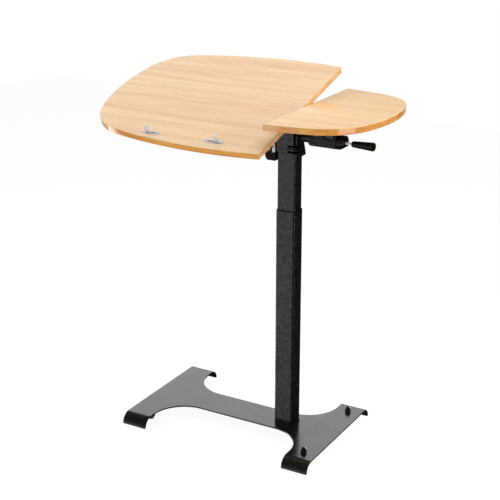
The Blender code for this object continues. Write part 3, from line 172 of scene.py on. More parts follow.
def makeGrainGroup():
    # fine orange peel of a sprayed, moulded or plated surface, with specks, over slow changes of gloss
    shape = grainFigure
    group, (vector, scale, roughLow, roughHigh), end = newGroup(
        "fineGrain", {"Vector": "Vector", "Scale": "Float", "Rough Low": "Float", "Rough High": "Float"},
        ["Height", "Roughness", "Speck"])
    slow = noise(group, vector, *shape["slow"], scale=times(group, scale, shape["slowScale"]))
    setInputs(end, {
        "Height": noise(group, vector, *shape["fine"], scale=scale),
        "Roughness": spread(group, slow, noiseRange, (roughLow, roughHigh)),
        "Speck": noise(group, vector, *shape["speck"], scale=times(group, scale, shape["speckScale"]))})
    return group


woodFigure = dict(band=((1.6, 33.0, 33.0), 4.0, 0.55, 0.7), fibre=((8.0, 230.0, 230.0), 5.0, 0.62, 0.0),
                  fleck=((55.0, 420.0, 420.0), 1.5, 0.5, 0.0), bandShare=0.55, fibreShare=0.45,
                  fleckEdge=(0.60, 0.72), fleckDepth=0.3, stave=0.0165)


def makeWoodGroup():
    # grain along X: broad wavy bands, fine fibres, short dark flecks, and narrow staves that show on edges
    shape = woodFigure
    group, (vector,), end = newGroup("boardFigure", {"Vector": "Vector"},
                                     ["Tone", "Stave", "Fleck", "Height"])
    bands, fibres, flecks = (noise(group, stretched(group, vector, scale), detail, rough, distortion)
                             for scale, detail, rough, distortion in
                             (shape["band"], shape["fibre"], shape["fleck"]))
    parts = addNode(group, "ShaderNodeSeparateXYZ", {0: vector})
    row = calc(group, "FLOOR", calc(group, "DIVIDE", parts.outputs["Y"], shape["stave"]))
    stave = addNode(group, "ShaderNodeTexWhiteNoise", {"W": row}, noise_dimensions="1D")
    setInputs(end, {
        "Tone": calc(group, "ADD", times(group, bands, shape["bandShare"]),
                     times(group, fibres, shape["fibreShare"])),
        "Stave": stave.outputs["Value"],
        "Fleck": spread(group, flecks, shape["fleckEdge"], (0.0, 1.0)),
        "Height": calc(group, "SUBTRACT", fibres, times(group, flecks, shape["fleckDepth"]))})
    return group


grainGroup = makeGrainGroup()
woodGroup = makeWoodGroup()


def newMaterial(name):
    material = bpy.data.materials.new(name)
    material.use_nodes = True
    tree = material.node_tree
    coords = addNode(tree, "ShaderNodeTexCoord")
    return material, tree, tree.nodes["Principled BSDF"], coords.outputs["Object"]


def bumped(tree, height, strength):
    inputs = {"Height": height, "Strength": strength, "Distance": bumpDepth}
    return addNode(tree, "ShaderNodeBump", inputs).outputs["Normal"]


def woodMaterial(name, look):
    material, tree, shader, coords = newMaterial(name)
    inputs = {"Vector": coords, "Location": look["shift"],
              "Rotation": (math.radians(look["turn"]), 0.0, 0.0)}
    mapping = addNode(tree, "ShaderNodeMapping", inputs)
    figure = addNode(tree, "ShaderNodeGroup", node_tree=woodGroup)
    setInputs(figure, {"Vector": mapping.outputs[0]})
    tone, stave, fleck, height = figure.outputs
    colour = ramp(tree, tone, look["tones"])
    colour = mixColour(tree, times(tree, stave, look["staveShare"]), colour, look["staveTone"])
    colour = mixColour(tree, times(tree, fleck, look["fleckShare"]), colour, look["fleckTone"])
    setInputs(shader, {"Base Color": colour, "Roughness": spread(tree, tone, noiseRange, look["gloss"]),
                       "Specular IOR Level": look["specular"], "Normal": bumped(tree, height, look["bump"])})
    return material


def grainMaterial(name, scale, gloss, dark, pale, bump, specular=0.5, metal=0.0, coat=None, stretch=None):
    material, tree, shader, coords = newMaterial(name)
    grain = addNode(tree, "ShaderNodeGroup", node_tree=grainGroup)
    vector = stretched(tree, coords, stretch) if stretch else coords
    setInputs(grain, {"Vector": vector, "Scale": scale, "Rough Low": gloss[0], "Rough High": gloss[1]})
    height, rough, speck = grain.outputs
    setInputs(shader, {"Base Color": ramp(tree, speck, tuple(zip(noiseRange, (dark, pale)))),
                       "Roughness": rough, "Metallic": metal, "Specular IOR Level": specular,
                       "Normal": bumped(tree, height, bump)})
    if coat:
        setInputs(shader, {"Coat Weight": spread(tree, speck, noiseRange, coat), "Coat Roughness": gloss[0]})
    return material


toneShares = dict(dark=(0.45, 1.0, 0.95), pale=(0.35, 0.8, 0.75), stops=(0.36, 0.5, 0.64))


def woodTones(middle, contrast):
    # dark, middle and pale streaks about one colour; green changes most
    dark = [part * (1.0 - contrast * share) for part, share in zip(middle, toneShares["dark"])]
    pale = [part * (1.0 + contrast * share) for part, share in zip(middle, toneShares["pale"])]
    return tuple(zip(toneShares["stops"], (dark, middle, pale)))


faceLook = dict(shift=(0.0, 0.0, 0.0), turn=0.0, tones=woodTones((0.79, 0.545, 0.320), 0.22),
                staveShare=0.04, staveTone=(0.76, 0.47, 0.23), fleckShare=0.34,
                fleckTone=(0.50, 0.25, 0.13), gloss=(0.10, 0.16), specular=0.45, bump=0.04)
# edge tones darker and more saturated than the faces: partly the lacquered edge wood, partly painted shade
# on the upright edges
edgeLookPaintedShade = dict(faceLook, tones=woodTones((0.66, 0.31, 0.078), 0.35), staveShare=0.55,
                staveTone=(0.50, 0.19, 0.040), fleckShare=0.2, gloss=(0.09, 0.13), bump=0.010)
mainPlace = dict(turn=-tiltDegrees, shift=(0.31, -0.17, 0.05))
mainFaceWood = woodMaterial("mainFaceWood", {**faceLook, **mainPlace})
mainEdgeWoodPaintedShade = woodMaterial("mainEdgeWoodPaintedShade", {**edgeLookPaintedShade, **mainPlace})
sideFaceWood = woodMaterial("sideFaceWood", dict(faceLook, tones=woodTones((0.83, 0.54, 0.270), 0.22)))
sideEdgeWoodPaintedShade = woodMaterial("sideEdgeWoodPaintedShade", edgeLookPaintedShade)
# the cut faces, turned to the right-hand light, are the edge wood with a paler tone: painted light
cutWoodPaintedLight = woodMaterial("cutWoodPaintedLight", dict(edgeLookPaintedShade, staveShare=0.25, tones=woodTones((0.80, 0.50, 0.25), 0.25)))
coatLook = dict(scale=260.0, gloss=(0.20, 0.26), dark=grey(0.001), pale=(0.013, 0.013, 0.0133), bump=0.50,
                coat=(0.0, 0.65), specular=0.36)
blackCoat = grainMaterial("blackCoat", **coatLook)
plateCoat = grainMaterial("plateCoat", **dict(coatLook, scale=420.0, bump=0.30, coat=(0.22, 0.42)))
blackPlastic = grainMaterial("blackPlastic", scale=800.0, gloss=(0.22, 0.30), dark=grey(0.002),
                             pale=grey(0.006), bump=0.12, specular=0.35)
brakeRubber = grainMaterial("brakeRubber", scale=900.0, gloss=(0.55, 0.7), dark=grey(0.004),
                            pale=grey(0.009), bump=0.15, specular=0.2)
# a rougher copy of the black coat, paler and bluish: painted light standing in for the grey sheen the lever
# housing catches
leverCoatPaintedLight = grainMaterial("leverCoatPaintedLight", scale=260.0, gloss=(0.45, 0.55), dark=(0.010, 0.011, 0.013),
                          pale=(0.028, 0.030, 0.034), bump=0.40, specular=0.15)
darkSteel = grainMaterial("darkSteel", scale=500.0, gloss=(0.35, 0.5), dark=grey(0.02), pale=grey(0.05),
                          bump=0.1, metal=0.6)
wheelRubber = grainMaterial("wheelRubber", scale=700.0, gloss=(0.55, 0.7), dark=(0.025, 0.025, 0.026),
                            pale=(0.045, 0.045, 0.047), bump=0.3)
wheelHub = grainMaterial("wheelHub", scale=900.0, gloss=(0.35, 0.5), dark=(0.08, 0.08, 0.082),
                         pale=(0.12, 0.12, 0.122), bump=0.1)
platedSteel = grainMaterial("platedSteel", scale=380.0, gloss=(0.22, 0.36), dark=(0.58, 0.56, 0.53),
                            pale=(0.74, 0.72, 0.68), bump=0.05, metal=1.0)
satinSteel = grainMaterial("satinSteel", scale=240.0, gloss=(0.26, 0.38), dark=grey(0.72),
                           pale=(0.84, 0.84, 0.845), bump=0.05, metal=1.0, stretch=(0.4, 4.0, 4.0))
silverFinish = grainMaterial("silverFinish", scale=240.0, gloss=(0.35, 0.45), dark=(0.74, 0.74, 0.75),
                             pale=(0.84, 0.84, 0.85), bump=0.05, metal=0.35)
# finishes that many pieces share, each with its slot
coated = ([blackCoat], "black_coat")
plastic = ([blackPlastic], "black_plastic")
plated = ([platedSteel], "plated_steel")
print("materials made")

# modelling helpers
mergeAt = dict(drawn=0.00001, combined=0.000003, solid=0.00002, finished=0.000005)
past = 0.01  # how far a cutter reaches past the shape that it cuts
mostly = 0.9  # share that tells a face's direction, or the upper rim of a shape
sharpDegrees = 32.0
mostFinishes = 3  # a board has a face, an edge and a cut


def toMesh(bm, name):
    mesh = bpy.data.meshes.new(name)
    bm.to_mesh(mesh)
    bm.free()
    return mesh


def addObject(name, data):
    made = bpy.data.objects.new(name, data)
    scene.collection.objects.link(made)
    return made


def merge(bm, kind):
    bmesh.ops.remove_doubles(bm, verts=bm.verts, dist=mergeAt[kind])


def moved(bm, place):
    bmesh.ops.transform(bm, matrix=place, verts=bm.verts)
    return bm


def shifted(bm, step):
    bmesh.ops.translate(bm, vec=step, verts=bm.verts)
    return bm


def finishPiece(bm, name, body, materials, slot, stands=(), place=None):
    if place is not None:
        moved(bm, place)
    merge(bm, "finished")
    bmesh.ops.recalc_face_normals(bm, faces=bm.faces)
    mesh = toMesh(bm, name)
    for material in materials:
        mesh.materials.append(material)
    mesh.shade_smooth()
    mesh.set_sharp_from_angle(angle=math.radians(sharpDegrees))
    piece = addObject(name, mesh)
    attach(piece, body)
    if stands:
        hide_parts(*stands)
    # large faces keep flat shading beside their narrow rounded arrises
    piece.modifiers.new("weightedNormals", "WEIGHTED_NORMAL").keep_sharp = True


def lineTo(bm, vert, x, y):
    made = bmesh.ops.extrude_vert_indiv(bm, verts=[vert])["verts"][0]
    made.co = (x, y, 0.0)
    return made


def arcTo(bm, vert, centreX, centreY, radians, steps):
    made = bmesh.ops.spin(bm, geom=[vert], cent=(centreX, centreY, 0.0), axis=(0.0, 0.0, 1.0),
                          angle=radians, steps=steps, use_duplicate=False)
    return [part for part in made["geom_last"] if isinstance(part, bmesh.types.BMVert)][0]


def outline(start, steps):
    # closed, by lines to (x, y) and by arcs of (centre x, centre y, angle, count)
    bm = bmesh.new()
    first = last = bm.verts.new((*start, 0.0))
    for step in steps:
        last = lineTo(bm, last, *step) if len(step) == 2 else arcTo(bm, last, *step)
    bmesh.ops.contextual_create(bm, geom=[first, last])
    return bm


def fillAndRaise(bm, thickness):
    merge(bm, "drawn")
    bmesh.ops.contextual_create(bm, geom=bm.edges[:])
    raised = bmesh.ops.extrude_face_region(bm, geom=bm.faces[:])
    top = [part for part in raised["geom"] if isinstance(part, bmesh.types.BMVert)]
    bmesh.ops.translate(bm, vec=(0.0, 0.0, thickness), verts=top)
    bmesh.ops.recalc_face_normals(bm, faces=bm.faces)


def bevelEdges(bm, edges, width, segments):
    bmesh.ops.bevel(bm, geom=edges, offset=width, offset_type="OFFSET", segments=segments, profile=0.5,
                    affect="EDGES", clamp_overlap=True, material=-1)


def bevelSharp(bm, width, segments=2, degrees=40.0):
    limit = math.radians(degrees)
    sharp = [edge for edge in bm.edges if len(edge.link_faces) == 2 and edge.calc_face_angle() > limit]
    bevelEdges(bm, sharp, width, segments)


def rimOf(bm, height):
    return [edge for edge in bm.edges if all(vert.co.z > mostly * height for vert in edge.verts)]


def turned(profile, steps=48):
    # profile of (radius, height) points turned about Z
    bm = bmesh.new()
    last = bm.verts.new((profile[0][0], 0.0, profile[0][1]))
    for radius, height in profile[1:]:
        last = bmesh.ops.extrude_vert_indiv(bm, verts=[last])["verts"][0]
        last.co = (radius, 0.0, height)
    bmesh.ops.spin(bm, geom=bm.verts[:] + bm.edges[:], cent=(0, 0, 0), axis=(0, 0, 1), angle=2 * math.pi,
                   steps=steps, use_merge=True, use_duplicate=False)
    merge(bm, "drawn")
    bmesh.ops.recalc_face_normals(bm, faces=bm.faces)
    return bm


def rod(radius, low, high, steps=32):
    return turned([(0.0, low), (radius, low), (radius, high), (0.0, high)], steps)


def prism(radius, low, high, sides):
    bm = bmesh.new()
    bmesh.ops.create_cone(bm, cap_ends=True, segments=sides, radius1=radius, radius2=radius,
                          depth=high - low)
    return shifted(bm, (0.0, 0.0, (low + high) / 2))


def block(low, high):
    bm = bmesh.new()
    bmesh.ops.create_cube(bm, size=1.0)
    bmesh.ops.scale(bm, vec=Vector(high) - Vector(low), verts=bm.verts)
    return shifted(bm, (Vector(high) + Vector(low)) / 2)


def roundedBlock(width, depth, corner, low, high, steps=10):
    # an upright block with rounded corners, centred on the Z axis
    bm = block((-width / 2, -depth / 2, low), (width / 2, depth / 2, high))
    half = (high - low) / 2
    uprights = [edge for edge in bm.edges if abs(edge.verts[0].co.z - edge.verts[1].co.z) > half]
    bevelEdges(bm, uprights, corner, steps)
    return bm


def frontPrism(points, depth):
    # an outline of (x, z) points given a depth along Y, half of it on each side
    bm = outline(points[0], points[1:])
    fillAndRaise(bm, depth)
    return moved(shifted(bm, (0.0, 0.0, -depth / 2)), turnToFront)


def combined(bm, other, operation="DIFFERENCE"):
    # exact boolean of two closed shapes; each face keeps its material number
    pair = []
    for shape in (bm, other):
        mesh = toMesh(shape, "shape")
        for number in range(mostFinishes):
            mesh.materials.append(None)
        pair.append(addObject("shape", mesh))
    modifier = pair[0].modifiers.new("combine", "BOOLEAN")
    modifier.operation = operation
    modifier.solver = "EXACT"
    modifier.object = pair[1]
    depsgraph = bpy.context.evaluated_depsgraph_get()
    made = bpy.data.meshes.new_from_object(pair[0].evaluated_get(depsgraph))
    result = bmesh.new()
    result.from_mesh(made)
    bpy.data.meshes.remove(made)
    for solid in pair:
        mesh = solid.data
        bpy.data.objects.remove(solid, do_unlink=True)
        bpy.data.meshes.remove(mesh)
    merge(result, "combined")
    bmesh.ops.dissolve_limit(result, angle_limit=math.radians(0.2), verts=result.verts, edges=result.edges,
                             delimit={"MATERIAL"})
    return result


def gathered(shapes):
    # several closed shapes as one mesh
    whole = bmesh.new()
    for bm in shapes:
        mesh = toMesh(bm, "shape")
        whole.from_mesh(mesh)
        bpy.data.meshes.remove(mesh)
    return whole


def boltHead(look):
    # a screw head standing on z = 0, rounded at the rim, with a sunk socket
    radius, height, sides, socket = look["radius"], look["height"], look["sides"], look["socket"]
    bm = prism(radius, 0.0, height, sides)
    bevelEdges(bm, rimOf(bm, height), look["rim"], 3)
    top = max(bm.faces, key=lambda face: face.calc_center_median().z)
    apothem = (radius - look["rim"]) * math.cos(math.pi / sides)
    for inset in (apothem - socket, socket * 0.05):
        bmesh.ops.inset_region(bm, faces=[top], thickness=inset, use_even_offset=True)
    bmesh.ops.translate(bm, vec=(0.0, 0.0, -look["sink"]), verts=top.verts)
    return bm


def screws(name, body, look, places, materials, slot):
    heads = [moved(boltHead(look), place) for place in places]
    finishPiece(gathered(heads), name, body, materials, slot)


def dressNode(node, name, materials, slot, width, segments=2, degrees=40.0, secondFrom=None):
    # a merged copy of the solid with its arrises rounded; behind secondFrom it has the second finish
    bm = bmesh.new()
    bm.from_mesh(nodes[node].data)
    merge(bm, "solid")
    bmesh.ops.dissolve_limit(bm, angle_limit=math.radians(1.0), verts=bm.verts, edges=bm.edges)
    bevelSharp(bm, width, segments, degrees)
    for face in bm.faces:
        face.material_index = int(secondFrom is not None and face.calc_center_median().y > secondFrom)
    finishPiece(bm, name, nodes[node]["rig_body"], materials, slot, [node])


# boards
boardShape = dict(length=0.761, depth=0.463, longRadius=1.318, cornerRadius=0.134, endRadius=0.401,
                  thickness=0.016, splitX=0.0475, gap=0.004, arris=0.0013, steps=(28, 22, 24))
stopShape = dict(sides=dict(left=(-0.26805, -1.0), right=(-0.09155, 1.0)), fromCentre=0.1995,
                 plate=(0.052, 0.014), thickness=0.0024, proud=0.0004, slot=(0.0312, 0.0044),
                 slotCorner=0.0006, cheek=(0.009, 0.002, 0.0078), tab=(0.0124, 0.024), tabThickness=0.0034,
                 tabRound=0.003, tabGap=0.0005, arris=0.0005, pinHole=0.0015, fit=0.0003,
                 pocketDepth=0.0132, screwX=0.0206, endSteps=14)
stopScrew = dict(radius=0.0019, height=0.0006, rim=0.0003, socket=0.0008, sink=0.0005, sides=24)
sideLow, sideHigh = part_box("side_top")
boardMiddle = sideHigh.x - boardShape["length"] / 2
axleToTop = sideHigh.z - axle.z


def boardOutline(cutX):
    # right of a cut, about the middle of both tops, from the back round to the front
    shape = boardShape
    endX = shape["length"] / 2 - shape["endRadius"]
    sunk = shape["longRadius"] - shape["depth"] / 2
    span = math.hypot(endX, sunk)
    toLong = shape["longRadius"] - shape["cornerRadius"]
    toEnd = shape["endRadius"] - shape["cornerRadius"]
    reach = (toLong ** 2 - toEnd ** 2 + span ** 2) / (2 * span)
    aside = math.sqrt(toLong ** 2 - reach ** 2)
    cornerX = (endX * reach + sunk * aside) / span
    cornerY = -sunk + (sunk * reach - endX * aside) / span
    longAngle = math.atan2(cornerY + sunk, cornerX)
    endAngle = math.atan2(cornerY, cornerX - endX)
    startAngle = math.acos(cutX / shape["longRadius"])
    longTurn, cornerTurn = longAngle - startAngle, endAngle - longAngle
    longSteps, cornerSteps, endSteps = shape["steps"]
    return outline((cutX, math.sin(startAngle) * shape["longRadius"] - sunk), (
        (0.0, -sunk, longTurn, longSteps), (cornerX, cornerY, cornerTurn, cornerSteps),
        (endX, 0.0, -2 * endAngle, endSteps), (cornerX, -cornerY, cornerTurn, cornerSteps),
        (0.0, sunk, longTurn, longSteps)))


def boardShell(cutX, side):
    bm = boardOutline(cutX)
    bmesh.ops.scale(bm, vec=(side, 1.0, 1.0), verts=bm.verts)
    fillAndRaise(bm, boardShape["thickness"])
    for face in bm.faces:
        face.material_index = 0 if abs(face.normal.z) > mostly else 1
    bevelSharp(bm, boardShape["arris"], 3)
    cutArea = boardShape["depth"] * boardShape["arris"]
    for face in bm.faces:
        if face.normal.z > 0.1:
            face.material_index = 0
        elif abs(face.normal.x) > 0.999 and face.calc_area() > cutArea:
            face.material_index = 2
    return bm


def cutStopPocket(bm, middleX):
    shape, top, fit = stopShape, boardShape["thickness"], stopShape["fit"]
    length, width = shape["plate"]
    slotLength, slotWidth = shape["slot"]
    recess = top - shape["thickness"] + shape["proud"] - fit
    oval = roundedBlock(length + 2 * fit, width + 2 * fit, width / 2, recess, 2 * top, shape["endSteps"])
    halfSlot = slotLength / 2 + fit
    halfCheek = slotWidth / 2 + shape["cheek"][1] + fit
    pocket = block((-halfSlot, -halfCheek, top - shape["pocketDepth"]), (halfSlot, halfCheek, 2 * top))
    for cutter in (oval, pocket):
        shifted(cutter, (middleX, -shape["fromCentre"], 0.0))
        for face in cutter.faces:
            face.material_index = 1
        bm = combined(bm, cutter)
    return bm


def makeBoards():
    splitX = columnX + boardShape["splitX"] - boardMiddle
    place = at(boardMiddle, columnY, sideLow.z)
    finishPiece(boardShell(splitX, 1.0), "sideBoard", "carriage", [sideFaceWood, sideEdgeWoodPaintedShade, cutWoodPaintedLight],
                "light_wood", ["side_top"], place)
    bm = boardShell(boardShape["gap"] - splitX, -1.0)
    for middle, tabSide in stopShape["sides"].values():
        bm = cutStopPocket(bm, middle + columnX - boardMiddle)
    place = tiltPlace @ at(boardMiddle - axle.x, 0.0, axleToTop - boardShape["thickness"])
    finishPiece(bm, "mainBoard", "tilting_top", [mainFaceWood, mainEdgeWoodPaintedShade, cutWoodPaintedLight], "light_wood",
                ["main_top"], place)


def makeStop(side, middle, tabSide):
    # plate let into the main board, and the tab that stands up through its slot
    shape, fit, thickness = stopShape, stopShape["fit"], stopShape["thickness"]
    length, width = shape["plate"]
    slotLength, slotWidth = shape["slot"]
    cheekLength, cheekThickness, cheekDrop = shape["cheek"]
    tabWidth, tabHeight = shape["tab"]
    tabX = tabSide * (slotLength / 2 - tabWidth / 2 - shape["tabGap"])
    bm = roundedBlock(length, width, width / 2 - fit, 0.0, thickness, shape["endSteps"])
    bevelEdges(bm, rimOf(bm, thickness), shape["arris"], 3)
    bm = combined(bm, roundedBlock(slotLength, slotWidth, shape["slotCorner"], -past, past, 3))
    for face in (-1.0, 1.0):
        near, far = sorted((face * slotWidth / 2, face * (slotWidth / 2 + cheekThickness)))
        cheek = block((tabX - cheekLength / 2, near, thickness / 2 - cheekDrop),
                      (tabX + cheekLength / 2, far, thickness / 2))
        bm = combined(bm, cheek, "UNION")
    rise = axleToTop + shape["proud"] - thickness
    place = tiltPlace @ at(middle, -shape["fromCentre"], rise)
    hinge = joints["ledge_flip_" + side]["pos_m"]
    hingePlace = at(*hinge) @ tiltPlace.to_3x3().to_4x4() @ turnToFront
    pinHole = moved(rod(shape["pinHole"], -past, past, 20), place.inverted() @ hingePlace)
    finishPiece(combined(bm, pinHole), "stopPlate_" + side, "tilting_top", [satinSteel], "satin_steel",
                ["ledge_plate_" + side], place)
    spots = [place @ at(end * shape["screwX"], 0.0, thickness) for end in (-1.0, 1.0)]
    screws("stopScrews_" + side, "tilting_top", stopScrew, spots, [satinSteel], "satin_steel")

    half, corner = tabWidth / 2, shape["tabRound"]
    shoulder = tabHeight - corner
    tab = outline((-half, 0.0), (
        (0.0, 0.0, math.pi, 20), (half, shoulder), (half - corner, shoulder, quarter, 8),
        (corner - half, tabHeight), (corner - half, shoulder, quarter, 8)))
    fillAndRaise(tab, shape["tabThickness"])
    bevelSharp(tab, shape["arris"], 3, 60.0)
    shifted(tab, (0.0, 0.0, -shape["tabThickness"] / 2))
    tab = combined(tab, rod(shape["pinHole"], -past, past, 20))
    finishPiece(tab, "stopTab_" + side, "ledge_" + side, [silverFinish], "satin_steel",
                ["ledge_tab_" + side], hingePlace)


makeBoards()
for stopSide, (stopMiddle, stopTabSide) in stopShape["sides"].items():
    makeStop(stopSide, stopMiddle, stopTabSide)
print("boards and stops made")

# base plate
baseShape = dict(left=0.4057, right=0.1542, bar=0.0724, depth=0.3708, beam=0.0979, scallop=0.092,
                 scallopSteps=24, bend=0.0279, bendSteps=16, thickness=0.004, arris=0.0003,
                 footCorner=0.004, near=0.0001)


def makeBasePlate():
    shape, thickness, bend, near = baseShape, baseShape["thickness"], baseShape["bend"], baseShape["near"]
    left, right = -shape["left"], shape["right"]
    inLeft, inRight = left + shape["bar"], right - shape["bar"]
    straight = shape["depth"] / 2 - bend
    scallop = shape["scallop"]
    hollow = shape["beam"] / 2 + scallop
    hollowLeft, hollowRight = inLeft + scallop, inRight - scallop
    inwards = (-quarter, shape["scallopSteps"])
    bm = outline((left, straight), (
        (left, -straight), (inLeft, -straight), (inLeft, -hollow), (hollowLeft, -hollow, *inwards),
        (hollowRight, -hollow + scallop), (hollowRight, -hollow, *inwards), (inRight, -straight),
        (right, -straight), (right, straight), (inRight, straight), (inRight, hollow),
        (hollowRight, hollow, *inwards), (hollowLeft, hollow - scallop), (hollowLeft, hollow, *inwards),
        (inLeft, straight)))
    fillAndRaise(bm, thickness)
    ends = [face for face in bm.faces if abs(face.normal.y) > mostly and
            abs(abs(face.calc_center_median().y) - straight) < near]
    for face in ends:
        side = math.copysign(1.0, face.normal.y)
        parts = [face] + face.edges[:] + face.verts[:]
        bmesh.ops.spin(bm, geom=parts, cent=(0.0, side * straight, thickness - bend), axis=(1.0, 0.0, 0.0),
                       angle=-side * quarter, steps=shape["bendSteps"], use_duplicate=False)
    merge(bm, "drawn")
    bmesh.ops.recalc_face_normals(bm, faces=bm.faces)
    footLow = thickness - bend
    corners = [edge for edge in bm.edges if all(abs(vert.co.z - footLow) < near for vert in edge.verts)
               and abs(edge.verts[0].co.x - edge.verts[1].co.x) < near]
    bevelEdges(bm, corners, shape["footCorner"], 5)
    bevelSharp(bm, shape["arris"], degrees=50.0)
    place = at(columnX, columnY, plateTop - thickness)
    finishPiece(bm, "basePlate", "base", [plateCoat], "black_coat", ["base_plate"], place)


makeBasePlate()
print("base plate made")

# column
columnShape = dict(width=0.055, depth=0.046, corner=0.007, leastCorner=0.001, wall=0.0015, slide=0.00125,
                   arris=0.0004, bead=0.0022, lip=0.002, fit=0.0003)


def tubeShape(inset, wall, low, high):
    # a length of the column's section, moved inwards all round by the inset
    width, depth = columnShape["width"] - 2 * inset, columnShape["depth"] - 2 * inset
    corner = columnShape["corner"] - inset
    boreCorner = max(corner - wall, columnShape["leastCorner"])
    bore = roundedBlock(width - 2 * wall, depth - 2 * wall, boreCorner, low - past, high + past)
    return combined(roundedBlock(width, depth, corner, low, high), bore)


def makeColumn():
    shape, wall, fit = columnShape, columnShape["wall"], columnShape["fit"]
    outer = tubeShape(0.0, wall, tubeLow.z, tubeHigh.z)
    bevelSharp(outer, shape["arris"], degrees=60.0)
    finishPiece(outer, "outerTube", "base", *coated, ["outer_tube"], uprightPlace)
    low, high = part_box("inner_tube")
    inner = tubeShape(wall + shape["slide"], wall, low.z, high.z)
    finishPiece(inner, "innerTube", "carriage", *coated, ["inner_tube"], uprightPlace)
    low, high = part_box("upper_glide")
    slide = wall + shape["slide"] - fit
    sleeve = tubeShape(wall + fit, slide - wall - fit, low.z, high.z - shape["lip"] / 2)
    lip = tubeShape(fit, slide - fit, tubeHigh.z + fit, high.z)
    bevelSharp(lip, shape["arris"], degrees=60.0)
    finishPiece(combined(sleeve, lip, "UNION"), "upperGlide", "base", *plastic, ["upper_glide"],
                uprightPlace)
    # weld bead round the foot
    bead, width, depth, corner = shape["bead"], shape["width"], shape["depth"], shape["corner"]
    skirt = roundedBlock(width + 2 * bead, depth + 2 * bead, corner + bead, plateTop, plateTop + bead)
    upper = [vert for vert in skirt.verts if vert.co.z > plateTop + bead / 2]
    bmesh.ops.scale(skirt, vec=(width / (width + 2 * bead), depth / (depth + 2 * bead), 1.0), verts=upper)
    core = roundedBlock(width, depth, corner, plateTop - past, plateTop + past)
    finishPiece(combined(skirt, core), "footWeld", "base", *coated, (), uprightPlace)


makeColumn()
print("column made")

# head
headShape = dict(width=0.0545, depth=0.0455, corner=0.006, wall=0.0025, notch=0.0225,
                 headSlot=(0.0012, 0.0095), flangeSlot=(0.0045, 0.0120), rebate=(0.0062, 0.0060),
                 overlap=0.001, arris=0.0011, axleHole=0.0085, screwX=0.0134,
                 screwHeights=(0.8158, 0.8242))
strapShape = dict(across=(0.02505, 0.02805, 0.03255, 0.0266), inwards=0.0015, height=0.012, gusset=0.003,
                  arris=0.0004, screwRise=0.006, screwY=(-0.009, 0.009))
headScrew = dict(radius=0.0021, height=0.0012, rim=0.0004, socket=0.0009, sink=0.0008, sides=24)
headSharp = 50.0


def makeHead():
    shape, width, depth, corner = headShape, headShape["width"], headShape["depth"], headShape["corner"]
    right, front = width / 2, -depth / 2
    flangeLow, flangeHigh = (point.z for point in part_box("top_flange"))
    headLow, headHigh = (point.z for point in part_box("head_box"))

    def cornerCutter(sizeX, sizeY, low, high):
        return block((right - sizeX, front - past, low), (right + past, front + sizeY, high))

    notch = (shape["notch"], shape["notch"])
    flange = roundedBlock(width, depth, corner, flangeLow, flangeHigh)
    slotTop, slotLow = shape["flangeSlot"]
    flange = combined(flange, cornerCutter(*notch, flangeHigh - slotLow, flangeHigh - slotTop))
    bevelSharp(flange, shape["arris"], degrees=headSharp)
    finishPiece(flange, "topFlange", "carriage", *coated, ["top_flange"], uprightPlace)

    wall = shape["wall"]
    head = roundedBlock(width, depth, corner, headLow, headHigh)
    bore = roundedBlock(width - 2 * wall, depth - 2 * wall, corner - wall, headLow - past, headHigh + past)
    slotLow, slotTop = shape["headSlot"]
    slot = cornerCutter(*notch, headLow + slotLow, headLow + slotTop)
    rebate = cornerCutter(*shape["rebate"], headLow + slotTop - shape["overlap"], headHigh + past)
    axleHole = moved(rod(shape["axleHole"], -width, width), at(0.0, 0.0, axle.z) @ turnToX)
    for cutter in (bore, slot, rebate, axleHole):
        head = combined(head, cutter)
    bevelSharp(head, shape["arris"], degrees=headSharp)
    finishPiece(head, "headBox", "carriage", *coated, ["head_box"], uprightPlace)
    spots = [uprightPlace @ at(shape["screwX"], front, height) @ turnToFront
             for height in shape["screwHeights"]]
    screws("headScrews", "carriage", headScrew, spots, [darkSteel], "plated_steel")


def makeStrap():
    # on the tube's right, with an ear and a gusset along its back edge
    shape = strapShape
    strapLow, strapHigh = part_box("tube_strap")
    inner, outer, ear, web = shape["across"]
    inside = inner - shape["inwards"]
    low, high = strapLow.z, strapHigh.z
    shoulder = low + shape["height"]
    back = strapHigh.y - columnY
    strap = block((inner, strapLow.y - columnY, low), (outer, back, shoulder))
    third = (shoulder - low) / 3
    gusset = frontPrism([(inner, low), (outer, low), (ear, low + third), (ear, low + 1.5 * third),
                         (web, high), (inside, high), (inside, shoulder), (inner, shoulder)],
                        shape["gusset"])
    strap = combined(strap, shifted(gusset, (0.0, back - shape["gusset"] / 2, 0.0)), "UNION")
    bevelSharp(strap, shape["arris"], degrees=headSharp)
    finishPiece(strap, "tubeStrap", "carriage", *coated, ["tube_strap"], uprightPlace)
    spots = [at(columnX + outer, columnY + along, low + shape["screwRise"]) @ turnToX
             for along in shape["screwY"]]
    screws("strapScrews", "carriage", headScrew, spots, [darkSteel], "plated_steel")


tiltScrew = dict(hex=0.0046, hexRise=0.0213, hexHeight=0.0105, hexArris=0.0005, shank=0.00275,
                 pitch=0.0009, threadDepth=0.0003, threadStart=0.001, threadEnd=0.0016,
                 tip=((1.0, 0.0012), (0.8, 0.0003), (0.45, 0.0), (0.0, 0.0)))


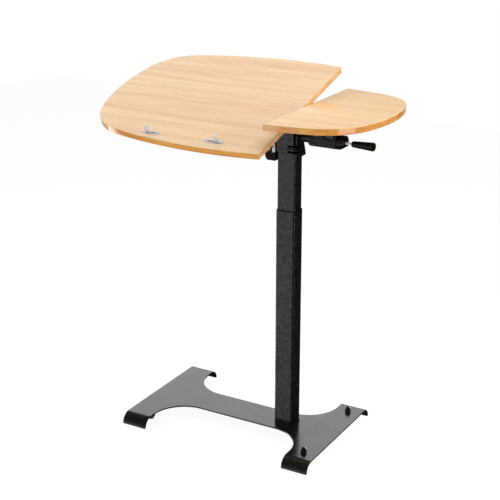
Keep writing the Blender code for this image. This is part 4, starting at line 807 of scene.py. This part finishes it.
def makeStopScrew():
    # hexagon below, threaded shank with a domed tip above
    look = tiltScrew
    low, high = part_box("tilt_stop_screw")
    place = at((low.x + high.x) / 2, (low.y + high.y) / 2, 0.0)
    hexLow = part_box("tilt_stop_block")[0].z + look["hexRise"]
    hexHigh = hexLow + look["hexHeight"]
    collar = prism(look["hex"], hexLow, hexHigh, 6)
    bevelSharp(collar, look["hexArris"], degrees=70.0)
    shank, deep, pitch = look["shank"], look["shank"] - look["threadDepth"], look["pitch"]
    profile = [(0.0, low.z), (deep, low.z)]
    height = hexHigh - look["threadStart"]
    while height < high.z - look["threadEnd"]:
        profile += [(shank, height), (deep, height + pitch / 2)]
        height += pitch
    profile += [(share * shank, high.z - drop) for share, drop in look["tip"]]
    finishPiece(gathered([collar, turned(profile, 32)]), "tiltStopScrew", "carriage", [silverFinish],
                "satin_steel", ["tilt_stop_screw"], place)


makeHead()
makeStrap()
dressNode("tilt_stop_block", "tiltStopBlock", [brakeRubber], "black_coat", 0.0007, 3)
makeStopScrew()
print("head made")

# lever gear
leverShape = dict(start=0.0565, end=0.1305, radius=0.018, wall=0.002, endWall=0.0035, round=0.003,
                  edge=0.0006, neckHole=0.0085, fulcrumX=0.0965, fulcrumRise=0.007, fulcrumHole=0.0028,
                  boss=0.0084, bossFace=0.0183, bolt=0.0025, overlap=0.001, rodSleeve=0.0033)
capShape = dict(start=0.131, end=0.1515, bevel=(0.016, 0.008), below=0.0003, spigot=0.0157,
                spigotLength=0.008, groove=(0.0013, 0.0034), slot=0.0035, slotTop=0.0103, arris=0.0005)
fulcrumHead = dict(radius=0.0072, height=0.0028, rim=0.0007, socket=0.0024, sink=0.0016, sides=6, gap=0.0002)
gripShape = dict(bore=0.0034, boreDepth=0.006, ferruleIn=0.004, ferruleEdge=0.0004, tip=0.0040,
                 outline=((0.0062, 0.0), (0.0072, 0.0010), (0.0076, 0.0030), (0.0105, 0.0500),
                          (0.0108, 0.0530), (0.0106, 0.0555), (0.0097, 0.0574), (0.0082, 0.0585)))


def makeLeverHousing():
    shape, radius, start, end = leverShape, leverShape["radius"], leverShape["start"], leverShape["end"]
    bore, rounding, edge, neck = radius - shape["wall"], shape["round"], shape["edge"], shape["neckHole"]
    inside = start + shape["endWall"]
    housing = moved(turned([
        (neck, start), (radius - rounding, start), (radius - 0.35 * rounding, start + 0.3 * rounding),
        (radius, start + rounding), (radius, end - edge), (radius - edge, end), (bore, end), (bore, inside),
        (neck, inside), (neck, start)], 64), turnToX)
    fulcrumPlace = at(shape["fulcrumX"], 0.0, shape["fulcrumRise"]) @ turnToFront
    boss, face, overlap = shape["boss"], shape["bossFace"], shape["overlap"]
    sunk = bore - overlap
    bossShape = turned([(0.0, sunk), (boss, sunk), (boss, face - edge), (boss - edge, face),
                        (0.0, face)], 40)
    housing = combined(housing, moved(bossShape, fulcrumPlace), "UNION")
    housing = combined(housing, moved(rod(shape["fulcrumHole"], -2 * radius, 2 * radius, 24), fulcrumPlace))
    finishPiece(housing, "leverHousing", "carriage", [leverCoatPaintedLight], "black_coat", ["lever_housing"], headPlace)
    head = shifted(boltHead(fulcrumHead), (0.0, 0.0, face + fulcrumHead["gap"]))
    bolt = combined(head, rod(shape["bolt"], -radius, face + overlap, 24), "UNION")
    finishPiece(bolt, "fulcrumBolt", "carriage", [blackPlastic], "black_coat", ["fulcrum_bolt"],
                headPlace @ fulcrumPlace)


def makeHousingCap():
    shape, radius, start, end = capShape, leverShape["radius"], capShape["start"], capShape["end"]
    spigot, slot, edge = shape["spigot"], shape["slot"], shape["arris"]
    grooveDeep, grooveLong = shape["groove"]
    low, groove, rim = start - shape["spigotLength"], radius - grooveDeep, start + grooveLong
    cap = moved(turned([
        (0.0, low), (spigot, low), (spigot, start), (groove, start), (groove, rim), (radius - edge, rim),
        (radius, rim + edge), (radius, end), (0.0, end)], 64), turnToX)
    bevelLong, bevelRise = shape["bevel"]
    lowest, beyond = -radius - shape["below"], end + past
    cutter = frontPrism([(end - bevelLong, lowest), (beyond, lowest), (beyond, lowest + bevelRise),
                         (end, lowest + bevelRise)], 4 * radius)
    cap = combined(cap, cutter)
    cap = combined(cap, block((low - past, -slot, -slot), (beyond, slot, shape["slotTop"])))
    bevelSharp(cap, edge, degrees=38.0)
    finishPiece(cap, "housingCap", "carriage", *plastic, ["housing_cap"], headPlace)


def makeHandLever():
    shape, tube, end = gripShape, leverShape["rodSleeve"], leverShape["end"]
    gripLow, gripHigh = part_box("lever_grip")
    start, length = gripLow.x - columnX, gripHigh.x - gripLow.x
    dressNode("lever_rod", "leverRod", [silverFinish], "plated_steel", 0.0003, degrees=50.0)
    edge, inGrip = shape["ferruleEdge"], start + shape["ferruleIn"]
    ferrule = turned([(0.0, end), (tube - edge, end), (tube, end + edge), (tube, inGrip), (0.0, inGrip)], 40)
    finishPiece(ferrule, "leverFerrule", "hand_lever", [silverFinish], "plated_steel", (), alongX)
    bore, deep = shape["bore"], shape["boreDepth"]
    grip = turned([(0.0, deep), (bore, deep), (bore, 0.0), *shape["outline"], (shape["tip"], length),
                   (0.0, length)], 56)
    finishPiece(grip, "leverGrip", "hand_lever", *plastic, ["lever_grip"], alongX @ at(0.0, 0.0, start))


makeLeverHousing()
dressNode("neck_tube", "neckTube", *coated, 0.0006)
makeHousingCap()
makeHandLever()
print("lever gear made")

# brackets under the boards
bracketShape = dict(arris=0.0005, sideScrewX=(0.068, 0.187), sideScrewY=(-0.068, 0.0, 0.068),
                    tiltScrewX=(-0.104, -0.042, 0.021), tiltScrewY=(-0.048, 0.048), plateDrop=0.0193,
                    clampX=-0.04955, clampY=-0.0222, clampEar=0.006, clampBolt=0.0022)
bracketScrew = dict(radius=0.0040, height=0.0022, rim=0.0009, socket=0.0016, sink=0.0014, sides=24)
hexHead = dict(radius=0.0046, height=0.0034, rim=0.0005, socket=0.0014, sink=0.0010, sides=6)


def makeBrackets():
    shape = bracketShape
    for node, name in (("side_bracket", "sideBracket"), ("tilt_bracket", "tiltBracket"),
                       ("tilt_clamp", "tiltClamp")):
        dressNode(node, name, *coated, shape["arris"])
    plateLow = axleToTop - shape["plateDrop"]
    for name, body, place, key in (("sideScrews", "carriage", headPlace, "sideScrew"),
                                   ("tiltScrews", "tilting_top", tiltPlace, "tiltScrew")):
        spots = [place @ at(x, y, plateLow) @ turnDown
                 for x in shape[key + "X"] for y in shape[key + "Y"]]
        screws(name, body, bracketScrew, spots, *plated)
    ear = shape["clampEar"]
    clampPlace = tiltPlace @ at(shape["clampX"], shape["clampY"], 0.0)
    bolt = gathered([shifted(boltHead(hexHead), (0.0, 0.0, ear)), rod(shape["clampBolt"], -ear, ear, 24),
                     shifted(moved(boltHead(hexHead), turnDown), (0.0, 0.0, -ear))])
    finishPiece(bolt, "clampBolt", "tilting_top", [blackPlastic], "black_coat", (), clampPlace)


makeBrackets()
print("brackets made")

# casters and brakes
wheelShape = dict(radius=0.012, half=0.007, bore=0.0023, hub=0.0046, dish=0.0010, dishEdge=0.0004,
                  rim=0.0092, tread=((0.0018, 0.0), (0.0006, 0.0008), (0.0, 0.0026)))
casterArris = dict(Plate=0.0003, Fork=0.0003, Axle=0.0002)
brakeShape = dict(bracketArris=0.0003, leverArris=0.0005, bareFrom=0.0045)


def makeWheel(corner):
    shape = wheelShape
    half, hub, rim, edge = shape["half"], shape["hub"], shape["rim"], shape["dishEdge"]
    sunk = half - shape["dish"]
    oneSide = [(shape["bore"], half), (hub, half), (hub + edge, sunk), (rim - edge, sunk), (rim, half)]
    oneSide += [(shape["radius"] - inwards, half - drop) for inwards, drop in shape["tread"]]
    bm = turned(oneSide + [(radius, -height) for radius, height in reversed(oneSide)] + [oneSide[0]])
    for face in bm.faces:
        middle = face.calc_center_median()
        face.material_index = 1 if math.hypot(middle.x, middle.y) < rim else 0
    place = at(*joints["caster_spin_" + corner]["pos_m"]) @ turnToX
    finishPiece(bm, "wheel_" + corner, "wheel_" + corner, [wheelRubber, wheelHub], "grey_rubber",
                ["caster_wheel_" + corner], place)


for corner in ("left_front", "left_back", "right_front", "right_back"):
    makeWheel(corner)
    for part, arris in casterArris.items():
        dressNode("caster_" + part.lower() + "_" + corner, "caster" + part + "_" + corner, *plated, arris)
for end in ("front", "back"):
    dressNode("brake_bracket_" + end, "brakeBracket_" + end, *coated, brakeShape["bracketArris"])
    pivotY = joints["foot_brake_" + end]["pos_m"][1]
    dressNode("brake_lever_" + end, "brakeLever_" + end, [brakeRubber, platedSteel], "black_plastic",
              brakeShape["leverArris"], secondFrom=pivotY + brakeShape["bareFrom"])
print("casters and brakes made")

# pieces kept as solids, most of them inside the column and the head
slotFinish = {"black_coat": blackCoat, "black_plastic": blackPlastic, "grey_rubber": wheelRubber,
              "plated_steel": platedSteel, "satin_steel": satinSteel, "light_wood": sideFaceWood}
ownFinish = {"crank_bracket": blackPlastic, "axle_stub": blackPlastic}
for part in frame["record"]["subparts"]:
    finish = ownFinish.get(part["node"], slotFinish[part["material_slot"]])
    for slot in nodes[part["node"]].material_slots:
        slot.material = finish
print("kept pieces painted")

# stage
stage = dict(lens=87.77, sensor=36.0, azimuth=29.887, pitch=19.652, distance=3.1641,
             target=(columnX - 0.11416, columnY, 0.50353), floorSize=3.5, floor=0.85, floorRough=0.9,
             white=1.075, whiteShare=0.88)
lamps = dict(topBox=dict(place=(0.9, 0.0, 2.6), aim=(0.0, 0.0, 0.8), size=(1.6, 1.4), power=27.5),
             leftBox=dict(place=(-1.5, -0.45, 2.0), aim=(-0.1, 0.0, 0.8), size=(1.6, 1.4), power=20.5),
             rightBox=dict(place=(2.2, 0.3, 1.45), aim=(0.1, 0.0, 0.8), size=(1.2, 1.0), power=34.0),
             frontBox=dict(place=(0.05, -2.3, 0.35), aim=(0.1, 0.0, 0.6), size=(1.0, 0.7), power=24.0))
# levels of light by height, from straight down at -1 to straight up at 1
studio = dict(
    back=((-1.0, 0.02), (-0.65, 0.05), (-0.5, 0.6), (-0.2, 0.6), (0.1, 0.5), (0.226, 0.5), (0.30, 0.8),
          (0.36, 2.05), (0.44, 2.1), (0.48, 2.6), (0.52, 2.7), (0.57, 1.2), (0.68, 1.0), (0.72, 0.12),
          (1.0, 0.05)),
    front=((-1.0, 0.02), (-0.65, 0.04), (-0.505, 0.08), (-0.475, 0.9), (-0.45, 0.97), (-0.22, 0.95),
           (-0.12, 0.5), (0.0, 0.12), (0.5, 0.06), (1.0, 0.06)),
    top=2.7, backEdge=(-0.25, 0.15), lowStart=(0.05, 0.12), lowEnd=(0.26, 0.31), lowFall=(-0.46, -0.37),
    lowLevels=(1.3, 0.7), darkEdge=(-0.12, 0.10), darkSide=0.97, paneEdge=0.02,
    panes=(dict(x=(-1.0, -0.72), y=(-0.24, 0.10), z=(-0.62, -0.42), level=5.8),
           dict(x=(0.80, 1.0), y=(-0.52, 0.02), z=(-0.252, -0.22), level=6.5),
           dict(x=(-0.28, -0.21), y=(-1.0, -0.6), z=(-0.265, -0.21), level=4.5)))


def seenDirectly(tree):
    light = addNode(tree, "ShaderNodeLightPath")
    return calc(tree, "MAXIMUM", light.outputs["Is Camera Ray"], light.outputs["Is Transmission Ray"])


def makeFloor():
    bm = bmesh.new()
    bmesh.ops.create_grid(bm, x_segments=1, y_segments=1, size=stage["floorSize"])
    mesh = toMesh(bm, "floor")
    floor = addObject("floor", mesh)
    floor.visible_glossy = False  # the reflections of the floor are in the world's lower half
    material = bpy.data.materials.new("paleFloor")
    material.use_nodes = True
    tree = material.node_tree
    shader = tree.nodes["Principled BSDF"]
    setInputs(shader, {"Base Color": (*grey(stage["floor"]), 1.0), "Roughness": stage["floorRough"]})
    white = addNode(tree, "ShaderNodeEmission", {"Strength": stage["white"]})
    share = times(tree, seenDirectly(tree), stage["whiteShare"])
    mix = addNode(tree, "ShaderNodeMixShader", {0: share, 1: shader.outputs[0], 2: white.outputs[0]})
    setInputs(tree.nodes["Material Output"], {"Surface": mix.outputs[0]})
    mesh.materials.append(material)


def makeWorld():
    # a studio as the surfaces mirror it: pale floor in front, bright wall behind on the left, dark right
    world = bpy.data.worlds.new("studio")
    scene.world = world
    world.use_nodes = True
    tree = world.node_tree
    coords = addNode(tree, "ShaderNodeTexCoord")
    x, y, z = addNode(tree, "ShaderNodeSeparateXYZ", {0: coords.outputs["Generated"]}).outputs
    rise = spread(tree, z, (-1.0, 1.0), (0.0, 1.0))
    top = studio["top"]
    back, front = (ramp(tree, rise, [((height + 1.0) / 2, grey(level / top)) for height, level in wall])
                   for wall in (studio["back"], studio["front"]))
    toBack = spread(tree, y, studio["backEdge"], (0.0, 1.0), "SMOOTHSTEP")
    sky = calc(tree, "ADD", front, times(tree, toBack, calc(tree, "SUBTRACT", back, front)))
    # low on the back wall the light falls off to the right
    low = times(tree, spread(tree, z, studio["lowStart"], (0.0, 1.0)),
                spread(tree, z, studio["lowEnd"], (1.0, 0.0)))
    fall = spread(tree, x, studio["lowFall"], [level - 1.0 for level in studio["lowLevels"]])
    sky = times(tree, sky, calc(tree, "ADD", 1.0, times(tree, times(tree, low, toBack), fall)))
    dark = spread(tree, x, studio["darkEdge"], (1.0, 1.0 - studio["darkSide"]), "SMOOTHSTEP")
    sky = times(tree, sky, times(tree, dark, top))
    # small bright panes that show on the boards' rounded corners
    edge = studio["paneEdge"]
    for look in studio["panes"]:
        pane = look["level"]
        for value, axis in ((x, "x"), (y, "y"), (z, "z")):
            start, end = look[axis]
            pane = times(tree, spread(tree, value, (start - edge, start), (0.0, 1.0)), pane)
            pane = times(tree, spread(tree, value, (end, end + edge), (1.0, 0.0)), pane)
        sky = calc(tree, "ADD", sky, pane)
    setInputs(tree.nodes["Background"], {"Color": (*grey(1.0), 1.0),
                                         "Strength": calc(tree, "MAXIMUM", sky, seenDirectly(tree))})


def softbox(name, look):
    data = bpy.data.lights.new(name, "AREA")
    data.shape = "RECTANGLE"
    data.size, data.size_y = look["size"]
    data.energy = look["power"]
    lamp = addObject(name, data)
    lamp.location = look["place"]
    lamp.rotation_euler = (Vector(look["aim"]) - Vector(look["place"])).to_track_quat("-Z", "Y").to_euler()
    lamp.visible_glossy = False  # mirrored light is all in the world


def makeCamera():
    data = bpy.data.cameras.new("photoCamera")
    data.lens = stage["lens"]
    data.sensor_width = stage["sensor"]
    camera = addObject("photoCamera", data)
    azimuth, pitch = math.radians(stage["azimuth"]), math.radians(stage["pitch"])
    level = math.cos(pitch)
    away = Vector((math.sin(azimuth) * level, -math.cos(azimuth) * level, math.sin(pitch)))
    camera.location = Vector(stage["target"]) + away * stage["distance"]
    camera.rotation_euler = (-away).to_track_quat("-Z", "Y").to_euler()
    scene.camera = camera


makeFloor()
makeWorld()
for lampName, lampLook in lamps.items():
    softbox(lampName, lampLook)
makeCamera()
scene.view_settings.view_transform = "Standard"
print("stage made")
